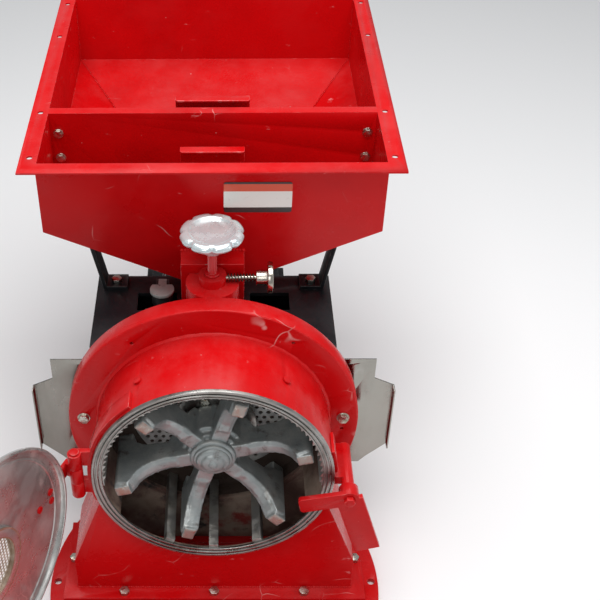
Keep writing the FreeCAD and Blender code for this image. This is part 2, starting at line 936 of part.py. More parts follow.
def motor_fan():
    y0 = motor_rear() + 6
    pieces = [rod_y(18.0, y0, y0 + 20), rod_y(fan_r - 8, y0, y0 + 2.5)]
    blade = box(-1.25, 1.25, y0, y0 + 20, shaft_z + 15, shaft_z + fan_r)
    pieces += around(blade, 7)
    return fuse(pieces).cut(rod_y(motor_shaft_r + FIT, y0 - 1, y0 + 21))


def fan_cowl():
    y0 = motor_rear() - 10
    y1 = motor_rear() + cowl_length
    inner_r = motor_r + 1 + GAP
    outer = rod_y(inner_r + cowl_t, y0, y1)
    outer = outer.makeFillet(10.0, [e for e in outer.Edges if e.BoundBox.YMin > y1 - 0.1])
    inner = rod_y(inner_r, y0 - 1, y1 - cowl_t)
    inner = inner.makeFillet(8.0, [e for e in inner.Edges if e.BoundBox.YMin > y1 - cowl_t - 0.1])
    tools = [inner]
    for radius, count in ((20.0, 6), (33.0, 10), (46.0, 14), (59.0, 18)):
        for k in range(count):
            x, z = at_angle(radius, 360.0 * k / count)
            tools.append(rod_y(4.0, y1 - cowl_t - 1, y1 + 1, x, z))
    return cut_all(outer, tools)


def terminal_box():
    shell = box(-terminal_half_x, terminal_half_x, terminal_y0, terminal_y1, terminal_z,
                terminal_z + terminal_h)
    inner = box(-terminal_half_x + 3, terminal_half_x - 3, terminal_y0 + 3, terminal_y1 - 3,
                terminal_z + 3, terminal_z + terminal_h + 1)
    gland_hole = rod_x(8.2, terminal_half_x - 5, terminal_half_x + 1, terminal_y0 + 60,
                       terminal_z + 14)
    return cut_all(shell, [inner, gland_hole])


def terminal_lid():
    z0 = terminal_z + terminal_h
    lid = box(-terminal_half_x - 1, terminal_half_x + 1, terminal_y0 - 1, terminal_y1 + 1, z0, z0 + 5)
    return lid.makeFillet(2.0, [e for e in lid.Edges if e.BoundBox.ZMin > z0 + 4.9])


def cable_gland():
    y = terminal_y0 + 60
    z = terminal_z + 14
    thread = rod_x(8.0, terminal_half_x - 4, terminal_half_x, y, z)
    nut = hex_prism(20.0, 8.0, Vector(terminal_half_x, y, z), ALONG_X)
    dome = rod_x(8.5, terminal_half_x + 8, terminal_half_x + 18, y, z)
    return fuse([thread, nut, dome]).cut(rod_x(4.5, terminal_half_x - 5, terminal_half_x + 19, y, z))


# Stand and cabinet


def stand_frame():
    back = rail_back
    pieces = []
    for x in (-rail_x, rail_x - rail_w):
        pieces.append(box(x, x + rail_w, table_front, back, base_t, rail_top))
        pieces.append(box(x, x + rail_w, back - pad_length, back, 0, base_t))
        for y in (table_front, table_step - post_w, motor_rear() - post_w):
            pieces.append(box(x, x + rail_w, y, y + post_w, rail_top, table_top - table_t))
    inner = rail_x - rail_w
    for y in (table_front, back - rail_w):
        pieces.append(box(-inner, inner, y, y + rail_w, base_t, rail_top))
    pieces.append(box(-table_half_w, table_half_w, table_front, table_step, table_top - table_t, table_top))
    pieces.append(box(-table_narrow_half_w, table_narrow_half_w, table_step, motor_rear(),
                      table_top - table_t, table_top))
    holes = []
    front = flange_back
    rear = front + housing_length
    places = [(x, y) for x in (-55.0, 55.0) for y in (front + 44, rear - 18)] + motor_foot_places()
    for x, y in places:
        holes.append(rod_z(M8_R + HOLE_CLEARANCE, table_top - table_t - 1, table_top + 1, x, y))
    return cut_all(fuse(pieces), holes)


def cabinet_sides():
    sides = []
    low = table_top - table_t - 20
    high = cabinet_top_z - cabinet_top_t
    for sign in (-1, 1):
        x0 = sign * table_half_w
        x1 = sign * (table_half_w + cabinet_wall)
        wall = box(min(x0, x1), max(x0, x1), table_front, cabinet_back, low, high)
        flange_x = sign * (table_half_w - 22)
        lip = box(min(flange_x, x1), max(flange_x, x1), table_front - cabinet_wall, table_front,
                  low, high)
        side = fuse([wall, lip])
        bolt_x = sign * (table_half_w - 10)
        for z in panel_bolt_heights():
            side = side.cut(rod_y(M8_R + HOLE_CLEARANCE, table_front - 10, table_front + 10, bolt_x, z))
        sides.append(side)
    back = box(-table_half_w, table_half_w, cabinet_back - cabinet_wall, cabinet_back, table_top, high)
    shaft_way = rod_y(coupling_r + shaft_way_gap, cabinet_back - cabinet_wall - 1, cabinet_back + 1)
    return fuse(sides + [back.cut(shaft_way)])


def panel_bolt_heights():
    return (table_top + 14, panel_top - 20)


def cabinet_top():
    z0 = cabinet_top_z - cabinet_top_t
    top = box(-cabinet_half_w, cabinet_half_w, panel_y + panel_t + 1, cabinet_back, z0, cabinet_top_z)
    middle = chute_half_w + 1
    tools = [box(-middle, middle, panel_y, cabinet_back - 24, z0 - 1, cabinet_top_z + 1)]
    for sign in (-1, 1):
        x0 = sign * window_inner
        x1 = sign * window_outer
        tools.append(box(min(x0, x1), max(x0, x1), window_front, window_back, z0 - 1, cabinet_top_z + 1))
    for x, y in hopper_leg_bolt_places() + [cover_stud_place()]:
        tools.append(rod_z(M8_R + HOLE_CLEARANCE, z0 - 1, cabinet_top_z + 1, x, y))
    return cut_all(top, tools)


def panel_outline():
    right = [
        (panel_half_w, panel_top),
        (panel_half_w, ear_top),
        (panel_half_w + ear_reach, ear_top - ear_chamfer),
        (panel_half_w + ear_reach, ear_bottom + 2 * ear_chamfer),
        (panel_half_w, ear_bottom),
        (panel_half_w - 10, panel_bottom),
    ]
    left = [(-x, z) for x, z in reversed(right)]
    return right + left


def front_panel():
    sheet = profile_y(panel_outline(), panel_y, panel_y + panel_t)
    tools = [
        rod_y(panel_hole_r, panel_y - 1, panel_y + panel_t + 1),
        box(-chute_half_w - 1, chute_half_w + 1, panel_y - 1, panel_y + panel_t + 1, shaft_z,
            panel_top + 1),
    ]
    for sign in (-1, 1):
        for z in panel_bolt_heights():
            tools.append(rod_y(M8_R + HOLE_CLEARANCE, panel_y - 1, panel_y + 5,
                               sign * (table_half_w - 10), z))
    pieces = [sheet.cut(Part.makeCompound(tools))]
    edge_x = panel_half_w + ear_reach
    for sign in (-1, 1):
        x0 = sign * edge_x
        x1 = sign * (edge_x - panel_t)
        pieces.append(box(min(x0, x1), max(x0, x1), panel_y - 12, panel_y, ear_bottom + 2 * ear_chamfer,
                          ear_top - ear_chamfer))
    return fuse(pieces)


def panel_bolts():
    bolts = []
    for sign in (-1, 1):
        for z in panel_bolt_heights():
            bolts.append(cap_bolt_y(sign * (table_half_w - 10), z, panel_y, 14, M8_ACROSS, 5.0))
    return bolts


def cover_stud_place():
    return (chute_half_w + 10.0, window_front - 14.0)


def cover_stud():
    """The stud and nut that hold the cabinet's top down."""
    x, y = cover_stud_place()
    return fuse([
        rod_z(M8_R, cabinet_top_z - cabinet_top_t - 6, cabinet_top_z + 20, x, y),
        rod_z(9.0, cabinet_top_z, cabinet_top_z + 1.6, x, y),
        hex_prism(M8_ACROSS, 7.0, Vector(x, y, cabinet_top_z + 1.6), UP),
    ])


# Hopper


def frustum(inset, low_z, high_z):
    """The tapering floor, between the fold line and the outlet."""
    def ring(z, x, y0, y1):
        return Part.makePolygon([Vector(-x, y0, z), Vector(x, y0, z), Vector(x, y1, z),
                                 Vector(-x, y1, z), Vector(-x, y0, z)])
    low = ring(low_z, outlet_half_w - inset, hopper_front + inset, outlet_back - inset)
    high = ring(high_z, hopper_half_w - inset + hopper_t, hopper_front + inset - hopper_t,
                hopper_back - inset + hopper_t)
    return Part.makeLoft([low, high], True, True)


def hopper_filled(inset):
    upper = box(-hopper_half_w - hopper_t + inset, hopper_half_w + hopper_t - inset,
                hopper_front - hopper_t + inset, hopper_back + hopper_t - inset,
                hopper_fold_z, hopper_rim_z)
    return fuse([frustum(inset, outlet_z, hopper_fold_z), upper])


def hopper_inside():
    return hopper_filled(hopper_t)


def rim_hole_places():
    ys = (rim_hole_front, rim_hole_front + rim_hole_pitch, rim_hole_front + 3 * rim_hole_pitch,
          rim_hole_front + 4 * rim_hole_pitch)
    return [(sign * rim_hole_x, y) for sign in (-1, 1) for y in ys]


def hopper():
    outer = hopper_filled(0)
    rim = box(-hopper_half_w - rim_w, hopper_half_w + rim_w, hopper_front - rim_w,
              hopper_back + rim_w, hopper_rim_z - hopper_t, hopper_rim_z)
    inner = hopper_inside()
    above = box(-hopper_half_w, hopper_half_w, hopper_front, hopper_back, hopper_rim_z - 20,
                hopper_rim_z + 1)
    below = box(-outlet_half_w + hopper_t, outlet_half_w - hopper_t, hopper_front + hopper_t,
                outlet_back - hopper_t, outlet_z - 1, outlet_z + 1)
    tools = [inner, above, below]
    for x, y in rim_hole_places():
        tools.append(rod_z(rim_hole_r, hopper_rim_z - 10, hopper_rim_z + 1, x, y))
    return cut_all(fuse([outer, rim]), tools)


def divider():
    inside = hopper_inside()
    sheet = box(-hopper_half_w, hopper_half_w, divider_y, divider_y + divider_t,
                hopper_fold_z - divider_drop, hopper_rim_z - 2)
    fold = box(-hopper_half_w, hopper_half_w, divider_y, divider_y + divider_fold,
               hopper_rim_z - 2, hopper_rim_z - 2 + divider_t)
    sheet = sheet.common(inside)
    whole = fuse([sheet, fold])
    tools = [rod_y(SCREW_R + 0.2, divider_y - 5, divider_y + 10, x, z) for x, z in divider_bolt_places()]
    return cut_all(whole, tools)


def divider_bolt_places():
    x = hopper_half_w - bracket_w / 2 - 2
    return [(sign * x, z) for sign in (-1, 1) for z in (bracket_top - 16, bracket_top - bracket_h + 16)]


def divider_brackets():
    brackets = []
    for sign in (-1, 1):
        wall = sign * (hopper_half_w - 0.0)
        tip = sign * (hopper_half_w - bracket_w)
        thick = sign * (hopper_half_w - bracket_t)
        y0 = divider_y + divider_t
        face = box(min(wall, tip), max(wall, tip), y0, y0 + bracket_t, bracket_top - bracket_h, bracket_top)
        back = box(min(wall, thick), max(wall, thick), y0, y0 + bracket_w, bracket_top - bracket_h,
                   bracket_top)
        bracket = fuse([face, back])
        for x, z in divider_bolt_places():
            bracket = bracket.cut(rod_y(SCREW_R + 0.2, divider_y - 5, divider_y + 10, x, z))
        brackets.append(bracket)
    return brackets


def divider_bolts():
    bolts = []
    for x, z in divider_bolt_places():
        bolts.append(fuse([
            cap_bolt_y(x, z, divider_y, divider_t + bracket_t + 6, 10.0, 4.0),
            hex_prism(10.0, 4.5, Vector(x, divider_y + divider_t + bracket_t, z), ALONG_Y),
        ]))
    return bolts


def chute_floor_z(y):
    """Height of the chute's underside, which falls from the outlet's back edge to the drum."""
    run = outlet_back - flange_back
    rise = outlet_z - chute_tail_drop - chute_low
    return chute_low + rise * (y - flange_back) / run


def gate(y, half_w, top):
    floor = chute_floor_z(y) + chute_wall + 8
    blade = box(-blade_half_w, blade_half_w, y, y + gate_t, floor, top - gate_t)
    head = box(-half_w, half_w, y, y + gate_t, top - gate_head_h, top - gate_t)
    lip = box(-half_w, half_w, y - gate_lip, y + gate_t, top - gate_t, top)
    whole = fuse([blade, head, lip])
    corner = [e for e in whole.Edges if e.BoundBox.ZLength < gate_t + 0.1 and e.BoundBox.YLength < 0.1
              and e.BoundBox.ZMin > top - gate_t - 0.1 and e.BoundBox.YMax < y - gate_lip + 0.1
              and e.BoundBox.XLength < 0.1]
    return whole.makeFillet(4.0, corner)


def gate_guides():
    inside = hopper_inside()
    guides = []
    for y in (front_gate_y, rear_gate_y):
        for sign in (-1, 1):
            inner = sign * (blade_half_w - 3)
            outer = sign * (blade_half_w - 3 + guide_w)
            strip = box(min(inner, outer), max(inner, outer), y - 5, y + gate_t + 5, outlet_z,
                        hopper_fold_z - 10)
            slot_edge = sign * (blade_half_w + 0.5)
            far_side = sign * (blade_half_w - 4)
            slot = box(min(far_side, slot_edge), max(far_side, slot_edge), y - 0.5, y + gate_t + 0.5,
                       outlet_z - 1, hopper_fold_z)
            guides.append(strip.common(inside).cut(slot))
    return guides


def hopper_legs():
    solid = hopper_filled(0)
    legs = []
    for sign in (-1, 1):
        z1 = hopper_fold_z
        grow = (leg_top_x - leg_foot_x) * (z1 - cabinet_top_z) / 70.0
        bar = profile_y([
            (sign * leg_foot_x, cabinet_top_z),
            (sign * (leg_foot_x + leg_t), cabinet_top_z),
            (sign * (leg_foot_x + leg_t + grow), z1),
            (sign * (leg_foot_x + grow), z1),
        ], leg_y, leg_y + leg_depth)
        x0 = sign * (leg_foot_x + leg_t)
        x1 = sign * (leg_foot_x - foot_reach)
        foot = box(min(x0, x1), max(x0, x1), leg_y, leg_y + leg_depth, cabinet_top_z, cabinet_top_z + leg_t)
        leg = fuse([bar.cut(solid), foot])
        for x, y in hopper_leg_bolt_places():
            leg = leg.cut(rod_z(M8_R + HOLE_CLEARANCE, cabinet_top_z - 1, cabinet_top_z + leg_t + 1, x, y))
        legs.append(leg)
    return legs


def hopper_leg_bolt_places():
    return [(sign * (leg_foot_x - 12), leg_y + 13) for sign in (-1, 1)]


def leg_bolts():
    return [cap_bolt_z(x, y, cabinet_top_z + leg_t, leg_t + cabinet_top_t + 8, M8_ACROSS)
            for x, y in hopper_leg_bolt_places()]


def hopper_struts():
    solid = hopper_filled(0)
    struts = []
    for sign in (-1, 1):
        x0 = sign * strut_x - strut_w / 2
        post = box(x0, x0 + strut_w, rail_back - rail_w, rail_back - rail_w + strut_w, rail_top,
                   hopper_fold_z)
        struts.append(post.cut(solid))
    return struts


# Chute, column and valve


def chute_outline(inset):
    slope = (outlet_z - chute_tail_drop - chute_low) / (outlet_back - flange_back)
    lift = inset * math.sqrt(1 + slope * slope)
    tail = outlet_z - chute_tail_drop
    return [
        (flange_back, chute_low + lift),
        (flange_back, chute_top - inset),
        (hopper_front + inset, chute_top - inset),
        (hopper_front + inset, outlet_z),
        (outlet_back - inset, outlet_z),
        (outlet_back - inset, tail + lift - slope * inset),
    ]


def feed_chute():
    outer = profile_x(chute_outline(0), -chute_half_w, chute_half_w)
    inner = profile_x(chute_outline(chute_wall), -chute_half_w + chute_wall, chute_half_w - chute_wall)
    port = rod_z(valve_bore_r, chute_top - chute_wall - 1, chute_top + 1, 0, valve_y)
    return cut_all(outer, [inner, port])


def feed_column():
    block = box(-chute_half_w, chute_half_w, column_front, hopper_front - hopper_t, chute_top, column_top)
    hollow = box(-chute_half_w + chute_wall, chute_half_w - chute_wall, column_front + chute_wall,
                 hopper_front - hopper_t - chute_wall, chute_top - 1, column_top - chute_wall)
    around_valve = rod_z(valve_r + GAP, chute_top - 1, valve_top + 0.1, 0, valve_y)
    return cut_all(block, [hollow, around_valve])


def valve_body():
    body = fuse([
        rod_z(valve_r, chute_top, valve_top, 0, valve_y),
        rod_z(boss_r, valve_top, valve_top + boss_h, 0, valve_y),
    ])
    body = body.cut(Part.makeCompound([
        rod_z(valve_bore_r, chute_top - 1, valve_top - valve_roof_t, 0, valve_y),
        rod_z(spindle_r + FIT, valve_top - valve_roof_t - 1, valve_top + boss_h + 1, 0, valve_y),
        rod_x(lock_screw_r + 0.2, 0, boss_r + 1, valve_y, lock_z),
    ]))
    return body


def valve_spindle():
    collar_z = valve_top - valve_roof_t - 0.3
    body = fuse([
        rod_z(spindle_r, spindle_bottom, wheel_z + wheel_t - wheel_socket, 0, valve_y),
        rod_z(spindle_r + 5, collar_z - 5, collar_z, 0, valve_y),
        rod_z(spindle_r + 4, valve_top + boss_h + 0.3, valve_top + boss_h + 3.3, 0, valve_y),
    ])
    return body


def valve_plug():
    body = rod_z(plug_r, plug_z, plug_z + plug_h, 0, valve_y)
    body = body.makeFillet(5.0, [e for e in body.Edges if e.BoundBox.ZMax < plug_z + 0.1])
    return body.cut(rod_z(spindle_r + FIT, plug_z + 2, plug_z + plug_h + 1, 0, valve_y))


def handwheel():
    disc = rod_z(wheel_r - 4, wheel_z, wheel_z + wheel_t, 0, valve_y)
    lobes = []
    for k in range(wheel_lobes):
        a = math.radians(360.0 * k / wheel_lobes)
        x = (wheel_r - 11) * math.cos(a)
        y = valve_y + (wheel_r - 11) * math.sin(a)
        lobes.append(rod_z(11.0, wheel_z, wheel_z + wheel_t, x, y))
    body = fuse([disc] + lobes)
    dish = rod_z(wheel_r - 12, wheel_z + wheel_t - wheel_dish, wheel_z + wheel_t + 1, 0, valve_y)
    hub = rod_z(wheel_hub_r, wheel_z - wheel_hub_h, wheel_z + 1, 0, valve_y)
    body = fuse([body.cut(dish), hub])
    socket = rod_z(spindle_r + FIT, wheel_z - wheel_hub_h - 1, wheel_z + wheel_t - wheel_socket, 0, valve_y)
    return body.cut(socket)


def lock_screw():
    return rod_x(lock_screw_r, spindle_r + 1.5, knob_disc_start - 2, valve_y, lock_z)


def lock_spring():
    start = boss_r + GAP
    end = knob_hub_start - 0.5
    pitch = (end - start - 2 * spring_wire_r) / spring_turns
    helix = Part.makeHelix(pitch, end - start - 2 * spring_wire_r, spring_r - spring_wire_r)
    start_point = Vector(spring_r - spring_wire_r, 0, 0)
    section = Part.Wire(Part.makeCircle(spring_wire_r, start_point, ALONG_Y))
    coil = Part.Wire(helix).makePipeShell([section], True, True)
    coil.Placement = FreeCAD.Placement(Vector(start + spring_wire_r, valve_y, lock_z),
                                       FreeCAD.Rotation(UP, ALONG_X))
    return coil


def lock_knob():
    body = fuse([
        rod_x(knob_hub_r, knob_hub_start, knob_disc_start, valve_y, lock_z),
        rod_x(knob_disc_r, knob_disc_start, knob_disc_start + knob_disc_t, valve_y, lock_z),
    ])
    notch = rod_x(2.0, knob_disc_start - 1, knob_disc_start + knob_disc_t + 1, valve_y,
                  lock_z + knob_disc_r + 0.8)
    notches = []
    for k in range(20):
        notches.append(turned(notch, 18.0 * k, Vector(0, valve_y, lock_z), ALONG_X))
    bore = rod_x(lock_screw_r + FIT, knob_hub_start - 1, knob_disc_start - 1.8, valve_y, lock_z)
    return cut_all(body, notches + [bore])


# Oil cup


def lid_pivot_rod(r, reach):
    return rod_x(r, cup_x - reach, cup_x + reach, lid_pivot_y, lid_z + lid_t / 2)


def oil_cup():
    """A cup on a small foot, with a pipe down to the bearing housing and ears for its lid."""
    cup = rod_z(cup_r, cabinet_top_z + 4, cabinet_top_z + cup_h, cup_x, cup_y)
    inner = rod_z(cup_r - 2.5, cabinet_top_z + 8, cabinet_top_z + cup_h + 1, cup_x, cup_y)
    foot_back = window_front - 1
    pieces = [
        cup.cut(inner),
        box(cup_x - 24, cup_x + 18, foot_back - 11, foot_back, cabinet_top_z, cabinet_top_z + 4),
        box(cup_x - 8, cup_x + 8, foot_back - 1, cup_y + 6, cabinet_top_z, cabinet_top_z + 4),
        rod_z(pipe_r, shaft_z, cabinet_top_z + 4, cup_x, cup_y),
        Part.makeSphere(pipe_r, Vector(cup_x, cup_y, shaft_z)),
        rod_x(pipe_r, cup_x, -housing_r + 6, cup_y, shaft_z),
    ]
    for x0 in (cup_x - ear_gap - ear_t, cup_x + ear_gap):
        ear = box(x0, x0 + ear_t, cup_y + cup_r - 4, lid_pivot_y + 3, cabinet_top_z + cup_h - 8,
                  lid_z + lid_t)
        pieces.append(ear.cut(rod_z(cup_r - 2.5, cabinet_top_z, lid_z + lid_t + 1, cup_x, cup_y)))
    pieces.append(lid_pivot_rod(lid_pin_r, ear_gap + 1))
    return fuse(pieces)


def oil_cup_lid():
    disc = rod_z(lid_r, lid_z, lid_z + lid_t, cup_x, cup_y)
    notch = box(cup_x - lid_r, cup_x + lid_r, cup_y + cup_r - 5, cup_y + lid_r + 1, lid_z - 1,
                lid_z + lid_t + 1)
    tab = box(cup_x - ear_gap + GAP, cup_x + ear_gap - GAP, cup_y + cup_r - 6, lid_pivot_y + 3,
              lid_z, lid_z + lid_t)
    return fuse([disc.cut(notch), tab]).cut(lid_pivot_rod(lid_pin_r + FIT, lid_r))


# Door, in its closed place and then swung open about the hinge


def open_door(shape):
    return turned(shape, door_open_angle, Vector(hinge_x, hinge_y, 0), UP)


def door_dish():
    y1 = door_inner_y
    y0 = y1 - door_rim_depth
    disc = rod_y(door_r, y0, y1)
    disc = disc.makeFillet(4.0, [e for e in disc.Edges if e.BoundBox.YMax < y0 + 0.1])
    pocket = rod_y(door_r - 4, y0 + door_t, y1 + 1)
    tools = [pocket, rod_y(vent_hole_r, y0 - 1, y1 + 1)]
    for x, z in rivet_places():
        tools.append(rod_y(SCREW_R + 0.1, y0 - 1, y1, x, z))
    return cut_all(disc, tools)


def vent_ring():
    y0 = door_inner_y - door_rim_depth + door_t
    return ring_y(vent_ring_r, vent_hole_r - 2, y0, y0 + vent_ring_h)


def vent_mesh():
    y0 = door_inner_y - door_rim_depth
    frame = ring_y(vent_hole_r - 0.1, vent_hole_r - 3, y0, y0 + door_t - 0.1)
    bars = []
    reach = vent_hole_r - 2.5
    for k in range(-8, 9):
        offset = 5.4 * k
        half = math.sqrt(reach * reach - offset * offset)
        bars.append(box(-half, half, y0 + 0.2, y0 + 1.2, shaft_z + offset - 0.5, shaft_z + offset + 0.5))
        bars.append(box(offset - 0.5, offset + 0.5, y0 + 0.2, y0 + 1.2, shaft_z - half, shaft_z + half))
    return fuse([frame] + bars)


def rivet_places():
    x = -door_r + 26.0
    return [(x, shaft_z - 8), (x, shaft_z + 8), (x + 26.0, shaft_z)]


def door_strap():
    y1 = door_inner_y - door_rim_depth
    z0 = shaft_z - strap_h / 2
    knuckle_low = hinge_low + knuckle_third + 0.4
    knuckle_high = hinge_high - knuckle_third - 0.4
    knuckle = rod_z(barrel_r, knuckle_low, knuckle_high, hinge_x, hinge_y)
    wrap = box(hinge_x - barrel_r, hinge_x, y1 - strap_t, hinge_y, knuckle_low + 1, knuckle_high - 1)
    leaf = box(hinge_x - barrel_r, -door_r + 64, y1 - strap_t, y1, knuckle_low + 1, knuckle_high - 1)
    body = fuse([knuckle, wrap, leaf])
    tools = [rod_z(pin_r + FIT, z0 - 60, z0 + 100, hinge_x, hinge_y)]
    for x, z in rivet_places():
        tools.append(rod_y(SCREW_R + 0.1, y1 - strap_t - 1, y1 + 1, x, z))
    return cut_all(body, tools)


def door_rivets():
    y0 = door_inner_y - door_rim_depth
    rivets = []
    for x, z in rivet_places():
        rivets.append(fuse([
            rod_y(SCREW_R, y0 - strap_t, y0 + door_t, x, z),
            rod_y(5.0, y0 + door_t, y0 + door_t + 2.0, x, z),
            rod_y(5.0, y0 - strap_t - 2.0, y0 - strap_t, x, z),
        ]))
    return rivets


def hinge_bracket():
    ears = []
    plate_y0 = hinge_y
    for low, high in ((hinge_low, hinge_low + knuckle_third), (hinge_high - knuckle_third, hinge_high)):
        ears.append(rod_z(barrel_r, low, high, hinge_x, hinge_y))
        ears.append(box(hinge_x, -drum_r + 14, plate_y0 + 2, hinge_y + barrel_r, low, high))
    strap_y0 = hinge_y + 2
    strap = ring_y(drum_r + GAP + 5, drum_r + GAP, strap_y0, strap_y0 + 28)
    strap = strap.common(sector(drum_r + 8, 34.0, strap_y0, strap_y0 + 28, 163.0))
    body = fuse(ears + [strap])
    inside = rod_y(drum_r + GAP, strap_y0 - 10, strap_y0 + 60)
    return cut_all(body, [inside, rod_z(pin_r, hinge_low - 1, hinge_high + 1, hinge_x, hinge_y)])


def hinge_pin():
    return fuse([
        rod_z(pin_r, hinge_low, hinge_high + 2, hinge_x, hinge_y),
        rod_z(pin_r + 2.5, hinge_high + GAP, hinge_high + 3, hinge_x, hinge_y),
    ])


# Latch


def latch_bar():
    bar = rod_y(latch_bar_r, latch_bar_front, latch_bar_back, latch_x, latch_z)
    pad = box(drum_r - 20, latch_x, latch_bar_front + 14, latch_bar_back, latch_z - 7, latch_z + 7)
    inside = rod_y(drum_r + GAP, latch_bar_front - 1, latch_bar_back + 1)
    hole = rod_y(4.0, latch_bar_front - 1, latch_bar_front + 26, latch_x, latch_z)
    return cut_all(fuse([bar, pad]), [inside, hole])


def latch_lever():
    y0 = lever_y
    y1 = lever_y + lever_t
    pivot = Vector(latch_x, y0, latch_z)
    boss = rod_y(13.0, y0, latch_bar_front - GAP, latch_x, latch_z)
    arm = box(latch_x - arm_reach, latch_x, y0, y1, latch_z - arm_h / 2, latch_z + arm_h / 2)
    arm = arm.makeFillet(5.0, [e for e in arm.Edges if e.BoundBox.XMax < latch_x - arm_reach + 0.1
                               and e.BoundBox.YLength > 1])
    arm.rotate(pivot, ALONG_Y, -arm_tilt)
    handle = box(latch_x - handle_w / 2, latch_x + handle_w / 2, y0, y1, latch_z - handle_length, latch_z)
    handle.rotate(pivot, ALONG_Y, -handle_tilt)
    body = fuse([boss, arm, handle])
    return body.cut(rod_y(4.0 + FIT, y0 - 1, latch_bar_front + 1, latch_x, latch_z))


def latch_bolt():
    return fuse([
        rod_y(4.0 - 0.01, lever_y - GAP, latch_bar_front + 24, latch_x, latch_z),
        hex_prism(13.0, 6.0, Vector(latch_x, lever_y - GAP, latch_z), Vector(0, -1, 0)),
    ])


def catch_plate():
    plate_body = ring_y(drum_r + GAP + 4, drum_r + GAP, drum_front + 8, drum_front + 44)
    return plate_body.common(sector(drum_r + 8, 7.0, drum_front + 7, drum_front + 45, 9.0))


def hopper_label():
    y1 = hopper_front - hopper_t
    label = box(15.0, 103.0, y1 - 0.6, y1, 524.0, 570.0)
    return label.makeFillet(3.0, [e for e in label.Edges if e.BoundBox.YLength > 0.5])


def every_frame_bolt():
    """All the M8 bolts of the casing, panel, stand and hopper feet, and the stud of the top cover."""
    return (foot_bolts() + flange_bolts() + panel_bolts() + leg_bolts() + housing_bolts()
            + motor_foot_bolts() + [cover_stud()])


def save_base_and_chamber():
    save("base_plate", base_plate())
    save("inspection_cap", inspection_cap())
    save("discharge_housing", discharge_housing())
    save("chamber_drum", chamber_drum())
    save("door_seat", door_seat())
    save("rear_flange", rear_flange())
    save("liner", liner())
    save_group("grate_bars", grate_bars())
    save("back_screen", back_screen())
    save_group("frame_bolts", every_frame_bolt())
    save_group("small_screws", liner_screws() + divider_bolts())


def save_rotor_and_bearings():
    rows = (bearing_front_y, bearing_rear_y)
    rear_seal_y = flange_back + housing_length + cover_t - seal_w
    save("rotor_casting", rotor_casting())
    save("hub_nut", hub_nut())
    save("hub_disc", hub_disc())
    save_group("hub_disc_bolts", hub_disc_bolts_group())
    save_group("mill_shaft", [mill_shaft(), key_box()])
    save_group("bearing_outer_rings", [bearing_ring_outer(y) for y in rows])
    inner_parts = [bearing_ring_inner(y) for y in rows] + bearing_balls(rows[0]) + bearing_balls(rows[1])
    save_group("bearing_inner_rings", inner_parts)
    save("bearing_housing", bearing_housing())
    save("bearing_cover", rear_bearing_cover())
    save_group("shaft_seals", [seal(flange_back - back_wall_t), seal(rear_seal_y)])


def save_drive():
    save("coupling_mill_half", coupling_half(coupling_start, shaft_r, spider_start - 2, 0.0))
    save("coupling_spider", coupling_spider())
    save("coupling_motor_half", coupling_half(motor_half_start + 1, motor_shaft_r, spider_start, 60.0))
    save("motor_body", motor_body())
    save_group("motor_end_shields", [motor_shield(motor_front, 1),
                                     motor_shield(motor_rear() - motor_shield_t, -1)])
    save_group("motor_stator", [stator()] + windings())
    save_group("motor_shaft", [motor_shaft(), motor_core()])
    save("motor_fan", motor_fan())
    save("fan_cowl", fan_cowl())
    save_group("terminal_box", [terminal_box(), terminal_lid()])
    save("cable_gland", cable_gland())


def save_stand_and_cabinet():
    save("stand_frame", stand_frame())
    save("cabinet_sides", cabinet_sides())
    save("cabinet_top", cabinet_top())
    save("front_panel", front_panel())
    save("oil_cup", oil_cup())
    save("oil_cup_lid", oil_cup_lid())


def save_hopper_and_feed():
    save("hopper", hopper())
    save("hopper_label", hopper_label())
    save("hopper_divider", divider())
    save_group("divider_brackets", divider_brackets())
    save("front_gate", gate(front_gate_y, front_gate_half_w, front_gate_top))
    save("rear_gate", gate(rear_gate_y, rear_gate_half_w, rear_gate_top))
    save_group("gate_guides", gate_guides())
    save_group("hopper_supports", hopper_legs() + hopper_struts())
    save("feed_chute", feed_chute())
    save("feed_column", feed_column())
    save("valve_body", valve_body())
    save("valve_spindle", valve_spindle())
    save("valve_plug", valve_plug())
    save("handwheel", handwheel())
    save_group("lock_knob", [lock_screw(), lock_knob()])
    save("lock_spring", lock_spring())


def save_door_and_latch():
    save("door_dish", open_door(door_dish()))
    save_group("door_vent", [open_door(vent_ring()), open_door(vent_mesh())])
    save_group("door_strap", [open_door(s) for s in [door_strap()] + door_rivets()])
    save_group("drum_brackets", [hinge_bracket(), latch_bar(), catch_plate()])
    save_group("pivot_pins", [hinge_pin(), latch_bolt()])
    save("latch_lever", latch_lever())


def main():
    os.makedirs("parts", exist_ok=True)
    save_base_and_chamber()
    save_rotor_and_bearings()
    save_drive()
    save_stand_and_cabinet()
    save_hopper_and_feed()
    save_door_and_latch()


main()
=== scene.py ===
import json
import math

import bmesh
import bpy
from mathutils import Matrix, Vector

